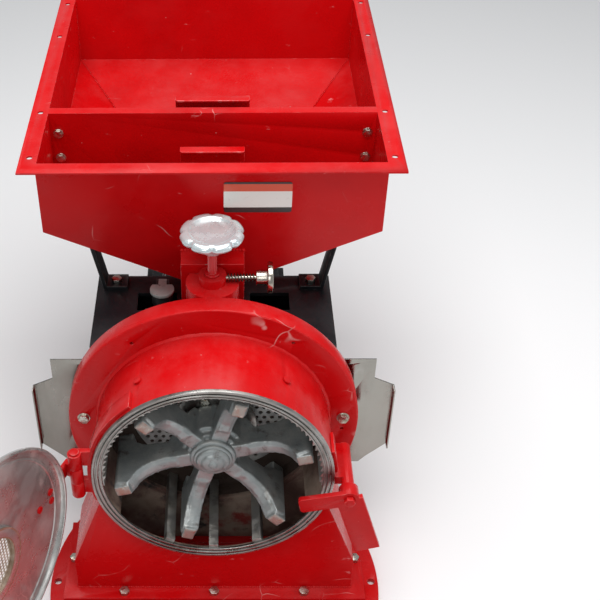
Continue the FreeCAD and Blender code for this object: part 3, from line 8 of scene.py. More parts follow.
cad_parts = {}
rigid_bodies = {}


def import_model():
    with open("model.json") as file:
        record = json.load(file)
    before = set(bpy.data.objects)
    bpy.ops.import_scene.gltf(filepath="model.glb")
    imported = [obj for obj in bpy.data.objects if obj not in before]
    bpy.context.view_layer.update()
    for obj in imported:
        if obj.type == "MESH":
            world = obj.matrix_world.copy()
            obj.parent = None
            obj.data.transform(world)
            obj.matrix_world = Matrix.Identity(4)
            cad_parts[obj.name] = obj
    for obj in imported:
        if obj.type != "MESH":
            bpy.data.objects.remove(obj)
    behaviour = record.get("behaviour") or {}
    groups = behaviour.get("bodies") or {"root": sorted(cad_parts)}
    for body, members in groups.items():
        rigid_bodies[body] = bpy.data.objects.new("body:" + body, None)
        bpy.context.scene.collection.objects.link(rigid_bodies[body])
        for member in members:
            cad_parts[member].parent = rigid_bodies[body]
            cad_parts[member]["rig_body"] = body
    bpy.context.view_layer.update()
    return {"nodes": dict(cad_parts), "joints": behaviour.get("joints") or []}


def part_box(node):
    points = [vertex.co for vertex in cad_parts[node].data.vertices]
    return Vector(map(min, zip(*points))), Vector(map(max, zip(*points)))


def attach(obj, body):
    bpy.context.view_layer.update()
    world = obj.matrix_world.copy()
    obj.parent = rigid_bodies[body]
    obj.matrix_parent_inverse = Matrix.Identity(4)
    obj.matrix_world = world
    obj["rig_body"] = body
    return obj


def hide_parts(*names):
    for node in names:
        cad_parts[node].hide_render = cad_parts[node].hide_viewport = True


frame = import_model()

# ---------------------------------------------------------------- base plate and inspection cap
# Round floor plate cut from 8 mm steel and sprayed with red enamel, with an opening under the
# drum and a small pressed cap over the clean-out hole. Everything red shares this enamel: flour
# settles on what faces up, and a paler enamel on the bevelled edges stands for paint rubbed pale
# there and is also a painted highlight along every edge.


def node_group(name, numbers, outputs):
    group = bpy.data.node_groups.new(name, "ShaderNodeTree")
    for label, value in numbers.items():
        kind = "NodeSocketFloat" if isinstance(value, float) else "NodeSocketVector"
        socket = group.interface.new_socket(label, in_out="INPUT", socket_type=kind)
        socket.default_value = value
    for label in outputs:
        group.interface.new_socket(label, in_out="OUTPUT", socket_type="NodeSocketFloat")
    return group, group.nodes.new("NodeGroupInput"), group.nodes.new("NodeGroupOutput")


def join(tree, node, sources):
    """Fills sockets of a node, by name or by number, with constants or links."""
    for label, value in sources.items():
        if isinstance(value, (int, float, tuple)):
            node.inputs[label].default_value = value
        else:
            tree.links.new(value, node.inputs[label])
    return node.outputs[0]


def math_node(tree, operation, *values, kind="ShaderNodeMath"):
    node = tree.nodes.new(kind)
    node.operation = operation
    return join(tree, node, dict(enumerate(values)))


def vector_node(tree, operation, *values):
    return math_node(tree, operation, *values, kind="ShaderNodeVectorMath")


def steps(tree, value, low, high, bottom=0.0, top=1.0):
    node = tree.nodes.new("ShaderNodeMapRange")
    node.interpolation_type = "SMOOTHSTEP"
    return join(tree, node, {"To Min": bottom, "To Max": top, "Value": value,
                             "From Min": low, "From Max": high})


def noise(tree, vector, scale, detail=2.0, rough=0.5):
    """The grey value of a noise, over a vector."""
    node = tree.nodes.new("ShaderNodeTexNoise")
    return join(tree, node, {"Vector": vector, "Scale": scale, "Detail": detail, "Roughness": rough})


# Cloudy patches: where the mask is 1 the surface is marked, smeared or dusty.
patches, given, gives = node_group(
    "patches", {"Scale": 8.0, "Stretch": (1.0, 1.0, 1.0), "Low": 0.5, "High": 0.7}, ["Mask"])
place = patches.nodes.new("ShaderNodeTexCoord").outputs["Object"]
spread = vector_node(patches, "MULTIPLY", place, given.outputs["Stretch"])
cloud = noise(patches, spread, given.outputs["Scale"], 6.0, 0.62)
patches.links.new(steps(patches, cloud, given.outputs["Low"], given.outputs["High"]), gives.inputs["Mask"])

# Flour that lies on what faces up.
flour, given, gives = node_group("flour", {"Amount": 0.5, "Scale": 14.0}, ["Mask"])
place = flour.nodes.new("ShaderNodeTexCoord")
facing = flour.nodes.new("ShaderNodeSeparateXYZ")
flour.links.new(place.outputs["Normal"], facing.inputs[0])
cloud = noise(flour, place.outputs["Object"], given.outputs["Scale"], 8.0, 0.7)
lying = steps(flour, facing.outputs["Z"], 0.15, 0.95)
drifts = steps(flour, cloud, 0.38, 0.72)
settled = math_node(flour, "MULTIPLY", lying, drifts)
flour.links.new(math_node(flour, "MULTIPLY", settled, given.outputs["Amount"]), gives.inputs["Mask"])

# Fine hairline scratches that wander in every direction.
scratches, given, gives = node_group("scratches", {"Scale": 22.0, "Width": 0.02, "Patch": 0.55}, ["Mask"])
place = scratches.nodes.new("ShaderNodeTexCoord").outputs["Object"]
wander = scratches.nodes.new("ShaderNodeTexNoise")
join(scratches, wander, {"Vector": place, "Scale": 9.0})
bent = vector_node(scratches, "MULTIPLY_ADD", wander.outputs["Color"], (0.09, 0.09, 0.09), place)
cells = scratches.nodes.new("ShaderNodeTexVoronoi")
cells.feature = "DISTANCE_TO_EDGE"
join(scratches, cells, {"Vector": bent, "Scale": given.outputs["Scale"]})
worn = noise(scratches, place, 17.0)
lines = steps(scratches, cells.outputs["Distance"], 0.0, given.outputs["Width"], 1.0, 0.0)
rubbed = steps(scratches, worn, given.outputs["Patch"], 0.8)
scratches.links.new(math_node(scratches, "MULTIPLY", lines, rubbed), gives.inputs["Mask"])

# Small lumps of sprayed paint, rolled sheet or sand-cast skin, as a height.
lumps, given, gives = node_group("lumps", {"Scale": 240.0, "Stretch": (1.0, 1.0, 1.0)}, ["Height"])
place = lumps.nodes.new("ShaderNodeTexCoord").outputs["Object"]
spread = vector_node(lumps, "MULTIPLY", place, given.outputs["Stretch"])
lumps.links.new(noise(lumps, spread, given.outputs["Scale"], 3.0), gives.inputs["Height"])


def material(name, colour, roughness, metallic=0.0, coat=0.0, specular=0.5):
    made = bpy.data.materials.new(name)
    made.use_nodes = True
    shader = made.node_tree.nodes["Principled BSDF"]
    shader.inputs["Base Color"].default_value = (*colour, 1.0)
    shader.inputs["Roughness"].default_value = roughness
    shader.inputs["Metallic"].default_value = metallic
    shader.inputs["Coat Weight"].default_value = coat
    shader.inputs["Coat Roughness"].default_value = 0.12
    shader.inputs["Specular IOR Level"].default_value = specular
    return made


def effect(made, group, **numbers):
    node = made.node_tree.nodes.new("ShaderNodeGroup")
    node.node_tree = group
    for label, value in numbers.items():
        node.inputs[label].default_value = value
    return node.outputs[0]


def over(made, group, colour, **numbers):
    """Lays a colour over what the shader has now, where the group's mask is 1."""
    mask = effect(made, group, **numbers)
    tree = made.node_tree
    base = tree.nodes["Principled BSDF"].inputs["Base Color"]
    mix = tree.nodes.new("ShaderNodeMix")
    mix.data_type = "RGBA"
    tree.links.new(mask, mix.inputs[0])
    mix.inputs[7].default_value = (*colour, 1.0)
    if base.is_linked:
        tree.links.new(base.links[0].from_socket, mix.inputs[6])
    else:
        mix.inputs[6].default_value = base.default_value
    tree.links.new(mix.outputs[2], base)


def rougher(made, group, rough, smooth, **numbers):
    """Takes the roughness from smooth to rough with the group's mask."""
    tree, mask = made.node_tree, effect(made, group, **numbers)
    socket = tree.nodes["Principled BSDF"].inputs["Roughness"]
    tree.links.new(steps(tree, mask, 0.0, 1.0, smooth, rough), socket)


def relief(made, group, depth, strength, **numbers):
    """Raises the surface by the group's height, over any relief it has."""
    tree, height = made.node_tree, effect(made, group, **numbers)
    normal = tree.nodes["Principled BSDF"].inputs["Normal"]
    node = tree.nodes.new("ShaderNodeBump")
    node.inputs["Distance"].default_value = depth
    node.inputs["Strength"].default_value = strength
    if normal.is_linked:
        tree.links.new(normal.links[0].from_socket, node.inputs["Normal"])
    tree.links.new(height, node.inputs["Height"])
    tree.links.new(node.outputs[0], normal)


red_enamel = material("red_enamel", (0.54, 0.0026, 0.0040), 0.30, specular=0.16)
over(red_enamel, patches, (0.43, 0.0020, 0.0030), Scale=5.0, Low=0.42, High=0.75)
over(red_enamel, flour, (0.66, 0.20, 0.20), Amount=0.11, Scale=11.0)
over(red_enamel, patches, (0.64, 0.16, 0.16), Scale=30.0, Stretch=(1.0, 1.0, 2.4), Low=0.67, High=0.74)
over(red_enamel, patches, (0.70, 0.46, 0.43), Scale=95.0, Low=0.71, High=0.75)
over(red_enamel, scratches, (0.72, 0.36, 0.34), Scale=14.0, Width=0.012, Patch=0.60)
rougher(red_enamel, patches, 0.44, 0.25, Scale=9.0, Low=0.40, High=0.70)
relief(red_enamel, lumps, 0.0003, 0.25, Scale=210.0)

# Paler enamel for the bevelled edges: rubbed paint, and also a painted highlight along each edge.
edge_wear_and_highlight_enamel = material("edge_wear_and_highlight_enamel", (0.60, 0.018, 0.020), 0.36, specular=0.35)
over(edge_wear_and_highlight_enamel, patches, (0.68, 0.20, 0.19), Scale=60.0, Low=0.50, High=0.66)
over(edge_wear_and_highlight_enamel, patches, (0.42, 0.36, 0.33), Scale=85.0, Low=0.62, High=0.68)
relief(edge_wear_and_highlight_enamel, lumps, 0.0003, 0.4, Scale=420.0)


def finished(node, round_mm, materials, angle=32.0):
    """A copy of a fixed node with its loose triangles joined and its edges broken."""
    source = frame["nodes"][node]
    mesh = source.data.copy()
    mesh.materials.clear()
    shape = bmesh.new()
    shape.from_mesh(mesh)
    bmesh.ops.remove_doubles(shape, verts=shape.verts, dist=0.00002)
    bmesh.ops.dissolve_limit(shape, angle_limit=math.radians(0.4), verts=shape.verts, edges=shape.edges)
    for face in shape.faces:
        face.material_index = 0
        face.smooth = True
    shape.to_mesh(mesh)
    shape.free()
    for made in materials:
        mesh.materials.append(made)
    piece = bpy.data.objects.new(node + "_finished", mesh)
    bpy.context.scene.collection.objects.link(piece)
    if round_mm:
        broken = piece.modifiers.new("broken_edges", "BEVEL")
        broken.width = round_mm / 1000.0
        broken.segments = 2
        broken.limit_method = "ANGLE"
        broken.angle_limit = math.radians(angle)
        # The second material colours the bevelled edges; on the paint skins it is partly a painted edge
        # highlight.
        broken.material = 1 if len(materials) > 1 else -1
        broken.harden_normals = True
    else:
        mesh.set_sharp_from_angle(angle=math.radians(angle))
    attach(piece, source["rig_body"])
    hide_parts(node)
    return piece


red_skin = [red_enamel, edge_wear_and_highlight_enamel]
finished("base_plate", 0.9, red_skin)
finished("inspection_cap", 0.0, [red_enamel])


# ---------------------------------------------------------------- discharge housing
# Folded 4 mm plate box that carries the drum and drops the flour through the base plate. Its foot
# flange is welded on, so a bead runs round the joint under the paint. Inside, the paint is worn and
# caked with brown meal.
caked_meal = material("caked_meal", (0.13, 0.065, 0.050), 0.72)
over(caked_meal, patches, (0.30, 0.22, 0.17), Scale=13.0, Low=0.42, High=0.62)
over(caked_meal, patches, (0.030, 0.026, 0.024), Scale=22.0, Low=0.56, High=0.68)
over(caked_meal, patches, (0.22, 0.020, 0.014), Scale=9.0, Low=0.60, High=0.70)
over(caked_meal, flour, (0.36, 0.27, 0.21), Amount=0.5, Scale=30.0)
relief(caked_meal, lumps, 0.0015, 0.6, Scale=90.0)


def skin_inside(piece, made, is_inside):
    """Gives the faces that look into the chamber a skin of their own."""
    piece.data.materials.append(made)
    for facet in piece.data.polygons:
        if is_inside([piece.data.vertices[i].co for i in facet.vertices], facet.normal):
            facet.material_index = len(piece.data.materials) - 1


housing = finished("discharge_housing", 0.8, red_skin)
housing_low, housing_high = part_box("discharge_housing")
housing_middle = (housing_low + housing_high) / 2
mill_axis = Vector((0.0, 0.0, 0.251))


def in_housing(corners, way):
    centre = sum(corners, Vector()) / len(corners)
    level = Vector((housing_middle.x - centre.x, housing_middle.y - centre.y, 0.0))
    return abs(way.z) < 0.8 and level.normalized().dot(way) > 0.15 and centre.z < mill_axis.z


skin_inside(housing, caked_meal, in_housing)


def link_piece(name, shape, made, body, smooth_deg=40.0):
    """Turns a finished bmesh into a piece that rides on a body."""
    mesh = bpy.data.meshes.new(name)
    for face in shape.faces:
        face.smooth = True
    shape.to_mesh(mesh)
    shape.free()
    for one in made if isinstance(made, list) else [made]:
        mesh.materials.append(one)
    mesh.set_sharp_from_angle(angle=math.radians(smooth_deg))
    piece = bpy.data.objects.new(name, mesh)
    bpy.context.scene.collection.objects.link(piece)
    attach(piece, body)
    return piece


def weld_bead(name, start, end, body, size=0.0026, pitch=0.0034):
    """A row of overlapping drops of weld metal along a straight joint, painted over."""
    shape = bmesh.new()
    run = Vector(end) - Vector(start)
    count = max(2, int(run.length / pitch))
    for k in range(count + 1):
        swell = 1.0 + 0.22 * math.sin(k * 2.4) + 0.14 * math.sin(k * 5.7)
        spot = Vector(start) + run * (k / count)
        turn = run.to_track_quat("X", "Z").to_matrix().to_4x4()
        squash = Matrix.Diagonal((0.95, swell, 0.62 * swell, 1.0))
        bmesh.ops.create_icosphere(shape, subdivisions=1, radius=size,
                                   matrix=Matrix.Translation(spot) @ turn @ squash)
    return link_piece(name, shape, red_enamel, body, 80.0)


plate_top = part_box("base_plate")[1].z + 0.006
housing_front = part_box("door_seat")[1].y
weld_bead("foot_weld_front", (-0.196, housing_front, plate_top), (0.196, housing_front, plate_top), "frame")
weld_bead("foot_weld_left", (-0.198, housing_front, plate_top), (-0.198, 0.088, plate_top), "frame")
weld_bead("foot_weld_right", (0.198, housing_front, plate_top), (0.198, 0.088, plate_top), "frame")

# ---------------------------------------------------------------- chamber drum and door seat
# Rolled 8 mm tube, painted outside, with a turned steel ring welded to its mouth. The ring is
# left bare, and the lathe leaves a lip, two grooves and a fine spiral on its face.
drum = finished("chamber_drum", 0.5, red_skin)


chamber_reach = 0.1585


def in_drum(corners, way):
    """The bore, and the cut edges of the outlet below it."""
    inner = [math.hypot(c.x, c.z - mill_axis.z) < chamber_reach for c in corners]
    return all(inner) or (any(inner) and all(c.z < mill_axis.z - 0.05 for c in corners))


skin_inside(drum, caked_meal, in_drum)


def from_axis(tree, given):
    """The distance from a line along y through Centre."""
    place = tree.nodes.new("ShaderNodeTexCoord").outputs["Object"]
    offset = vector_node(tree, "SUBTRACT", place, given.outputs["Centre"])
    flat = vector_node(tree, "MULTIPLY", offset, (1.0, 0.0, 1.0))
    return vector_node(tree, "LENGTH", flat).node.outputs["Value"]


turning, given, gives = node_group("turning", {"Centre": (0.0, 0.0, 0.0), "Pitch": 0.0008}, ["Height"])
turns = math_node(turning, "DIVIDE", from_axis(turning, given), given.outputs["Pitch"])
wave = math_node(turning, "SINE", math_node(turning, "MULTIPLY", turns, 2 * math.pi))
coarse = math_node(turning, "SINE", math_node(turning, "MULTIPLY", turns, 0.83))
turning.links.new(math_node(turning, "ADD", wave, coarse), gives.inputs["Height"])

bare_steel = material("bare_steel", (0.33, 0.325, 0.31), 0.36, metallic=1.0)
over(bare_steel, patches, (0.24, 0.23, 0.21), Scale=30.0, Low=0.45, High=0.72)
over(bare_steel, flour, (0.60, 0.57, 0.52), Amount=0.30, Scale=40.0)
rougher(bare_steel, patches, 0.52, 0.26, Scale=46.0, Low=0.35, High=0.7)
relief(bare_steel, turning, 0.00003, 0.5, Centre=mill_axis, Pitch=0.0007)


def spun(points, centre, axis, count, closed=False):
    """Spins an outline of points a whole turn round an axis."""
    shape = bmesh.new()
    corners = [shape.verts.new(point) for point in points]
    for first, second in zip(corners, corners[1:] + corners[:1 if closed else 0]):
        shape.edges.new((first, second))
    bmesh.ops.spin(shape, geom=shape.verts[:] + shape.edges[:], cent=centre, axis=axis,
                   angle=2 * math.pi, steps=count, use_merge=True)
    bmesh.ops.remove_doubles(shape, verts=shape.verts, dist=0.000005)
    bmesh.ops.recalc_face_normals(shape, faces=shape.faces)
    return shape


def turned_ring(profile, count=128):
    """A closed ring from an outline of (radius, y) points round the shaft."""
    return spun([(r, y, mill_axis.z) for r, y in profile], mill_axis, (0, 1, 0), count, closed=True)


seat_low, seat_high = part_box("door_seat")
face, back, rim = seat_low.y, seat_high.y, seat_high.x
outline = [
    (0.1460, back), (0.1460, face + 0.0022), (0.1466, face + 0.0016), (0.1482, face + 0.0016),
    (0.1487, face + 0.0030), (0.1502, face + 0.0030), (0.1508, face + 0.0004), (0.1514, face),
    (0.1532, face), (0.1537, face + 0.0005), (0.1541, face + 0.0024), (0.1556, face + 0.0024),
    (0.1561, face + 0.0005), (0.1567, face), (rim - 0.0009, face), (rim - 0.0002, face + 0.0006),
    (rim, face + 0.0014), (rim, back),
]
seat = link_piece("turned_door_seat", turned_ring(outline, 160), bare_steel, "frame",
                  28.0)
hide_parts("door_seat")

# ---------------------------------------------------------------- rear flange
# Dished steel flange behind the drum, painted, with a rolled front edge that hands and tools
# have rubbed pale; that paler edge enamel is also a painted highlight. The drum is welded to it,
# and the bead is smoothed under the enamel.
# Mask of the flange face inside the bore, which is painted near-black brown: painted shade deep at the back
# of the chamber.
inside_disc, given, gives = node_group("inside_disc", {"Centre": (0.0, 0.0, 0.0), "Radius": 0.1}, ["Mask"])
within = math_node(inside_disc, "LESS_THAN", from_axis(inside_disc, given), given.outputs["Radius"])
inside_disc.links.new(within, gives.inputs["Mask"])
flange_enamel = red_enamel.copy()
flange_enamel.name = "flange_enamel"
flange_edge = edge_wear_and_highlight_enamel.copy()
flange_edge.name = "flange_edge"
# Both flange skins get the painted shade inside the bore.
for skin in (flange_enamel, flange_edge):
    over(skin, inside_disc, (0.060, 0.042, 0.034), Centre=mill_axis, Radius=chamber_reach)
finished("rear_flange", 0.9, [flange_enamel, flange_edge])
flange_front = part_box("rear_flange")[0].y
drum_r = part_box("chamber_drum")[1].x
fillet = [(drum_r - 0.001, flange_front + 0.0008), (drum_r - 0.001, flange_front - 0.0034),
          (drum_r + 0.0008, flange_front - 0.0028), (drum_r + 0.0021, flange_front - 0.0013),
          (drum_r + 0.0036, flange_front + 0.0008)]
weld = turned_ring(fillet, 220)
for vert in weld.verts:
    turn = math.atan2(vert.co.z - mill_axis.z, vert.co.x)
    ripple = 0.0003 * math.sin(turn * 110.0) + 0.00018 * math.sin(turn * 47.0)
    outward = Vector((math.cos(turn), 0.0, math.sin(turn)))
    vert.co += (outward - Vector((0.0, 1.0, 0.0))) * ripple
cut = bmesh.ops.bisect_plane(weld, geom=weld.verts[:] + weld.edges[:] + weld.faces[:],
                             plane_co=(0.0, 0.0, 0.206), plane_no=(0, 0, 1), clear_inner=True)
bmesh.ops.holes_fill(weld, edges=[e for e in cut["geom_cut"] if isinstance(e, bmesh.types.BMEdge)])
link_piece("drum_weld", weld, red_enamel, "frame", 60.0)

# ---------------------------------------------------------------- liner, grate bars and screen
# Hardened saw-tooth liner screwed into the drum, three loose grate bars across the outlet and a
# punched screen over the back wall. All are bare iron, greyed and browned by old flour.
worn_iron = material("worn_iron", (0.40, 0.39, 0.37), 0.42, metallic=0.8)
over(worn_iron, patches, (0.14, 0.125, 0.11), Scale=24.0, Low=0.48, High=0.70)
over(worn_iron, patches, (0.42, 0.40, 0.36), Scale=70.0, Low=0.58, High=0.70)
over(worn_iron, patches, (0.16, 0.040, 0.026), Scale=15.0, Low=0.58, High=0.72)
over(worn_iron, flour, (0.50, 0.46, 0.39), Amount=0.55, Scale=36.0)
rougher(worn_iron, patches, 0.68, 0.30, Scale=55.0, Low=0.35, High=0.7)
relief(worn_iron, lumps, 0.0006, 0.5, Scale=160.0)
for node in ("liner", "grate_bars"):
    finished(node, 0.35, [worn_iron])

punched_steel = material("punched_steel", (0.52, 0.52, 0.51), 0.42, metallic=0.6)
over(punched_steel, patches, (0.24, 0.23, 0.22), Scale=20.0, Low=0.50, High=0.76)
over(punched_steel, patches, (0.50, 0.48, 0.45), Scale=60.0, Low=0.55, High=0.68)
rougher(punched_steel, patches, 0.58, 0.30, Scale=40.0, Low=0.35, High=0.7)
finished("back_screen", 0.0, [punched_steel])

# ---------------------------------------------------------------- bolts and small screws
# Zinc-plated M8 bolts, each on a pressed washer, and the small screws of the liner and divider.
# The plating has dulled a little, with rust starting in the corners.
zinc_plate = material("zinc_plate", (0.56, 0.54, 0.48), 0.30, metallic=1.0)
over(zinc_plate, patches, (0.34, 0.30, 0.22), Scale=90.0, Low=0.50, High=0.68)
over(zinc_plate, patches, (0.24, 0.12, 0.06), Scale=140.0, Low=0.62, High=0.70)
rougher(zinc_plate, patches, 0.50, 0.22, Scale=120.0, Low=0.35, High=0.7)
relief(zinc_plate, lumps, 0.0001, 0.4, Scale=900.0)
finished("frame_bolts", 0.55, [zinc_plate])
drum_screws = finished("small_screws", 0.35, [zinc_plate])


def on_drum(corners, way):
    return all(math.hypot(c.x, c.z - mill_axis.z) > 0.1590 and c.y < 0.1 and c.z < 0.44 for c in corners)


skin_inside(drum_screws, red_enamel, on_drum)
finished("hub_disc_bolts", 0.5, [zinc_plate])


def washers(name, spots, body, made=zinc_plate):
    """Plain washers: each spot is a seat centre, the way the bolt points and a radius."""
    shape = bmesh.new()
    for centre, way, radius in spots:
        turn = Vector(way).to_track_quat("Z", "X").to_matrix().to_4x4()
        start = Matrix.Translation(Vector(centre)) @ turn
        ring = bmesh.ops.create_circle(shape, cap_ends=True, segments=40, radius=radius, matrix=start)
        grown = bmesh.ops.extrude_face_region(shape, geom=[ring["verts"][0].link_faces[0]])
        top = [g for g in grown["geom"] if isinstance(g, bmesh.types.BMVert)]
        bmesh.ops.translate(shape, verts=top, vec=Vector(way) * 0.0013)
    bmesh.ops.recalc_face_normals(shape, faces=shape.faces)
    piece = link_piece(name, shape, made, body)
    broken = piece.modifiers.new("stamped_edge", "BEVEL")
    broken.width = 0.0003
    broken.segments = 2
    return piece


def islands(node):
    """The lowest and highest corner of every separate solid in a node."""
    shape = bmesh.new()
    shape.from_mesh(frame["nodes"][node].data)
    bmesh.ops.remove_doubles(shape, verts=shape.verts, dist=0.00002)
    left = set(shape.verts)
    found = []
    while left:
        group, reach = set(), [left.pop()]
        while reach:
            vert = reach.pop()
            group.add(vert)
            for edge in vert.link_edges:
                other = edge.other_vert(vert)
                if other in left:
                    left.discard(other)
                    reach.append(other)
        spots = [v.co for v in group]
        found.append((Vector([min(s[i] for s in spots) for i in range(3)]),
                      Vector([max(s[i] for s in spots) for i in range(3)])))
    shape.free()
    return found


facing_front = []
flange_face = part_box("rear_flange")[0].y
for lowest, highest in islands("frame_bolts"):
    middle = (lowest + highest) / 2
    if abs(lowest.y + 0.006 - flange_face) < 0.001:
        facing_front.append(((middle.x, flange_face, middle.z), (0, -1, 0), 0.0088))
washers("bolt_washers", facing_front, "frame")

# ---------------------------------------------------------------- rotor casting
# Six beaters cast in one piece with the hub. Each arm is a shallow web that turns forward into its
# beater bar, with a flat ridge along its front. The sand-cast skin is grey, and grain wears the
# bar ends brown and bright.
cast_grey = material("cast_grey", (0.30, 0.33, 0.33), 0.38, metallic=0.55)
over(cast_grey, patches, (0.38, 0.41, 0.41), Scale=16.0, Low=0.40, High=0.68)
over(cast_grey, patches, (0.17, 0.16, 0.15), Scale=52.0, Low=0.56, High=0.70)
over(cast_grey, flour, (0.66, 0.64, 0.59), Amount=0.50, Scale=28.0)
rougher(cast_grey, patches, 0.62, 0.34, Scale=34.0, Low=0.35, High=0.7)
relief(cast_grey, lumps, 0.0012, 0.45, Scale=130.0)
relief(cast_grey, lumps, 0.0004, 0.5, Scale=520.0)

bar_tip = material("bar_tip", (0.36, 0.32, 0.29), 0.46, metallic=0.6)
over(bar_tip, patches, (0.36, 0.21, 0.17), Scale=70.0, Low=0.45, High=0.66)
over(bar_tip, patches, (0.50, 0.46, 0.41), Scale=110.0, Low=0.58, High=0.68)
relief(bar_tip, lumps, 0.0004, 0.5, Scale=420.0)

rotor_low, rotor_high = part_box("rotor_casting")
bar_front, bar_back = rotor_low.y, rotor_high.y
beater_r = (rotor_high.x - rotor_low.x) / 2
hub_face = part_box("hub_nut")[1].y
hub_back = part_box("hub_disc")[0].y
casting = bmesh.new()


def cast_plate(outline, half_front, half_back, turn):
    """A plate drawn as (y, radius) points, with its own half width front and back, turned into place."""
    corners = [casting.verts.new((-1.0, y, r)) for y, r in outline]
    first = casting.faces.new(corners)
    grown = bmesh.ops.extrude_face_region(casting, geom=[first])
    far = [g for g in grown["geom"] if isinstance(g, bmesh.types.BMVert)]
    bmesh.ops.translate(casting, verts=far, vec=(2.0, 0.0, 0.0))
    ends = [y for y, r in outline]
    for vert in corners + far:
        share = (vert.co.y - min(ends)) / (max(ends) - min(ends))
        vert.co.x *= half_front + (half_back - half_front) * share
    bmesh.ops.transform(casting, matrix=turn, verts=corners + far)


for radius, front, back in ((0.0295, hub_face, hub_back), (0.044, hub_face + 0.014, hub_back - 0.004),
                            (0.037, hub_face + 0.006, hub_back)):
    bmesh.ops.create_cone(casting, cap_ends=True, segments=72, radius1=radius, radius2=radius * 0.93,
                          depth=back - front,
                          matrix=Matrix.Translation((0.0, (front + back) / 2, mill_axis.z))
                          @ Matrix.Rotation(math.radians(90.0), 4, "X"))
arm_web = [
    (hub_face + 0.032, 0.020), (hub_face + 0.031, 0.062), (hub_face + 0.034, beater_r - 0.040),
    (hub_face + 0.044, beater_r - 0.024), (hub_face + 0.052, beater_r - 0.004),
    (bar_front + 0.008, beater_r - 0.004),
    (bar_front + 0.004, beater_r - 0.0205), (bar_front + 0.010, beater_r - 0.0245),
    (bar_front + 0.0205, beater_r - 0.031), (bar_front + 0.0285, beater_r - 0.040),
    (bar_front + 0.0335, beater_r - 0.051), (bar_front + 0.0362, beater_r - 0.064),
    (hub_face + 0.0005, 0.062), (hub_face - 0.0005, 0.050), (hub_face, 0.020),
]
ridge = [(y - 0.0022, r) for y, r in arm_web[7:-1]]
ridge = ridge + [(y + 0.012, r + 0.001) for y, r in reversed(ridge)]
beater = [(bar_front, beater_r - 0.0215), (bar_front, beater_r - 0.0005), (bar_back, beater_r - 0.0005),
          (bar_back, beater_r - 0.0225)]
root = [(hub_face + 0.010, 0.026), (hub_face + 0.012, 0.052), (hub_face + 0.028, 0.062),
        (hub_back - 0.010, 0.050), (hub_back - 0.010, 0.026)]
first_arm_deg = 90.0 - 14.0
for k in range(6):
    turn = Matrix.Translation(mill_axis) @ Matrix.Rotation(math.radians(first_arm_deg - 60.0 * k), 4, "Y")
    cast_plate(arm_web, 0.0114, 0.0112, turn)
    cast_plate(ridge, 0.0052, 0.0070, turn)
    cast_plate(beater, 0.0083, 0.0094, turn)
    cast_plate(root, 0.0080, 0.0150, turn)
bmesh.ops.recalc_face_normals(casting, faces=casting.faces)
rotor = link_piece("cast_rotor", casting, cast_grey, "rotor")
joined = rotor.modifiers.new("one_casting", "REMESH")
joined.mode = "VOXEL"
joined.voxel_size = 0.0017
joined.use_smooth_shade = True
soft = rotor.modifiers.new("sand_cast_edges", "SMOOTH")
soft.factor = 0.5
soft.iterations = 4
bpy.context.view_layer.update()
cast_mesh = bpy.data.meshes.new_from_object(rotor.evaluated_get(bpy.context.evaluated_depsgraph_get()))
rotor.modifiers.clear()
cast_mesh.materials.clear()
cast_mesh.materials.append(cast_grey)
cast_mesh.materials.append(bar_tip)
for facet in cast_mesh.polygons:
    if facet.center.y < bar_front + 0.0022 and facet.normal.y < -0.6:
        facet.material_index = 1
cast_mesh.shade_smooth()
rotor.data = cast_mesh
thinned = rotor.modifiers.new("fewer_facets", "DECIMATE")
thinned.ratio = 0.55
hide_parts("rotor_casting")

# The cap nut that locks the rotor: a turned collar, a step and a worn dome with a small centre.
nut_low, nut_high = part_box("hub_nut")
cap_front, cap_r = nut_low.y, nut_high.x
cap_profile = [
    (0.0, cap_front), (0.0022, cap_front + 0.0001), (0.0042, cap_front + 0.0005),
    (0.0056, cap_front + 0.0015),
    (0.0062, cap_front + 0.0026), (0.0100, cap_front + 0.0031), (0.0128, cap_front + 0.0040),
    (0.0152, cap_front + 0.0056), (0.0160, cap_front + 0.0068), (0.0186, cap_front + 0.0072),
    (0.0212, cap_front + 0.0080), (0.0226, cap_front + 0.0096), (0.0232, cap_front + 0.0112),
    (0.0252, cap_front + 0.0115), (0.0262, cap_front + 0.0124), (0.0264, nut_high.y - 0.0052),
    (cap_r - 0.0014, nut_high.y - 0.0046), (cap_r - 0.0002, nut_high.y - 0.0032), (cap_r, nut_high.y),
    (0.0, nut_high.y),
]
cap = spun([(r, y, mill_axis.z) for r, y in cap_profile], mill_axis, (0, 1, 0), 96)
hub_cap = link_piece("hub_cap", cap, cast_grey, "rotor", 50.0)
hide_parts("hub_nut")
finished("hub_disc", 0.5, [worn_iron])

# ---------------------------------------------------------------- shaft, bearings and housing
# Ground steel shaft in two ball bearings, in a cast housing painted black, with felt seals.
ground_steel = material("ground_steel", (0.50, 0.50, 0.49), 0.24, metallic=1.0)
over(ground_steel, patches, (0.30, 0.28, 0.25), Scale=26.0, Low=0.50, High=0.74)
rougher(ground_steel, patches, 0.40, 0.18, Scale=60.0, Stretch=(1.0, 0.1, 1.0), Low=0.3, High=0.7)
for node in ("mill_shaft", "bearing_outer_rings", "bearing_inner_rings", "motor_shaft"):
    finished(node, 0.3, [ground_steel])

black_paint = material("black_paint", (0.008, 0.009, 0.011), 0.46, specular=0.30)
over(black_paint, patches, (0.020, 0.020, 0.022), Scale=7.0, Low=0.45, High=0.75)
over(black_paint, flour, (0.22, 0.22, 0.22), Amount=0.08, Scale=13.0)
over(black_paint, scratches, (0.20, 0.19, 0.18), Scale=16.0, Width=0.012, Patch=0.62)
rougher(black_paint, patches, 0.58, 0.34, Scale=12.0, Low=0.4, High=0.7)
relief(black_paint, lumps, 0.0003, 0.4, Scale=260.0)
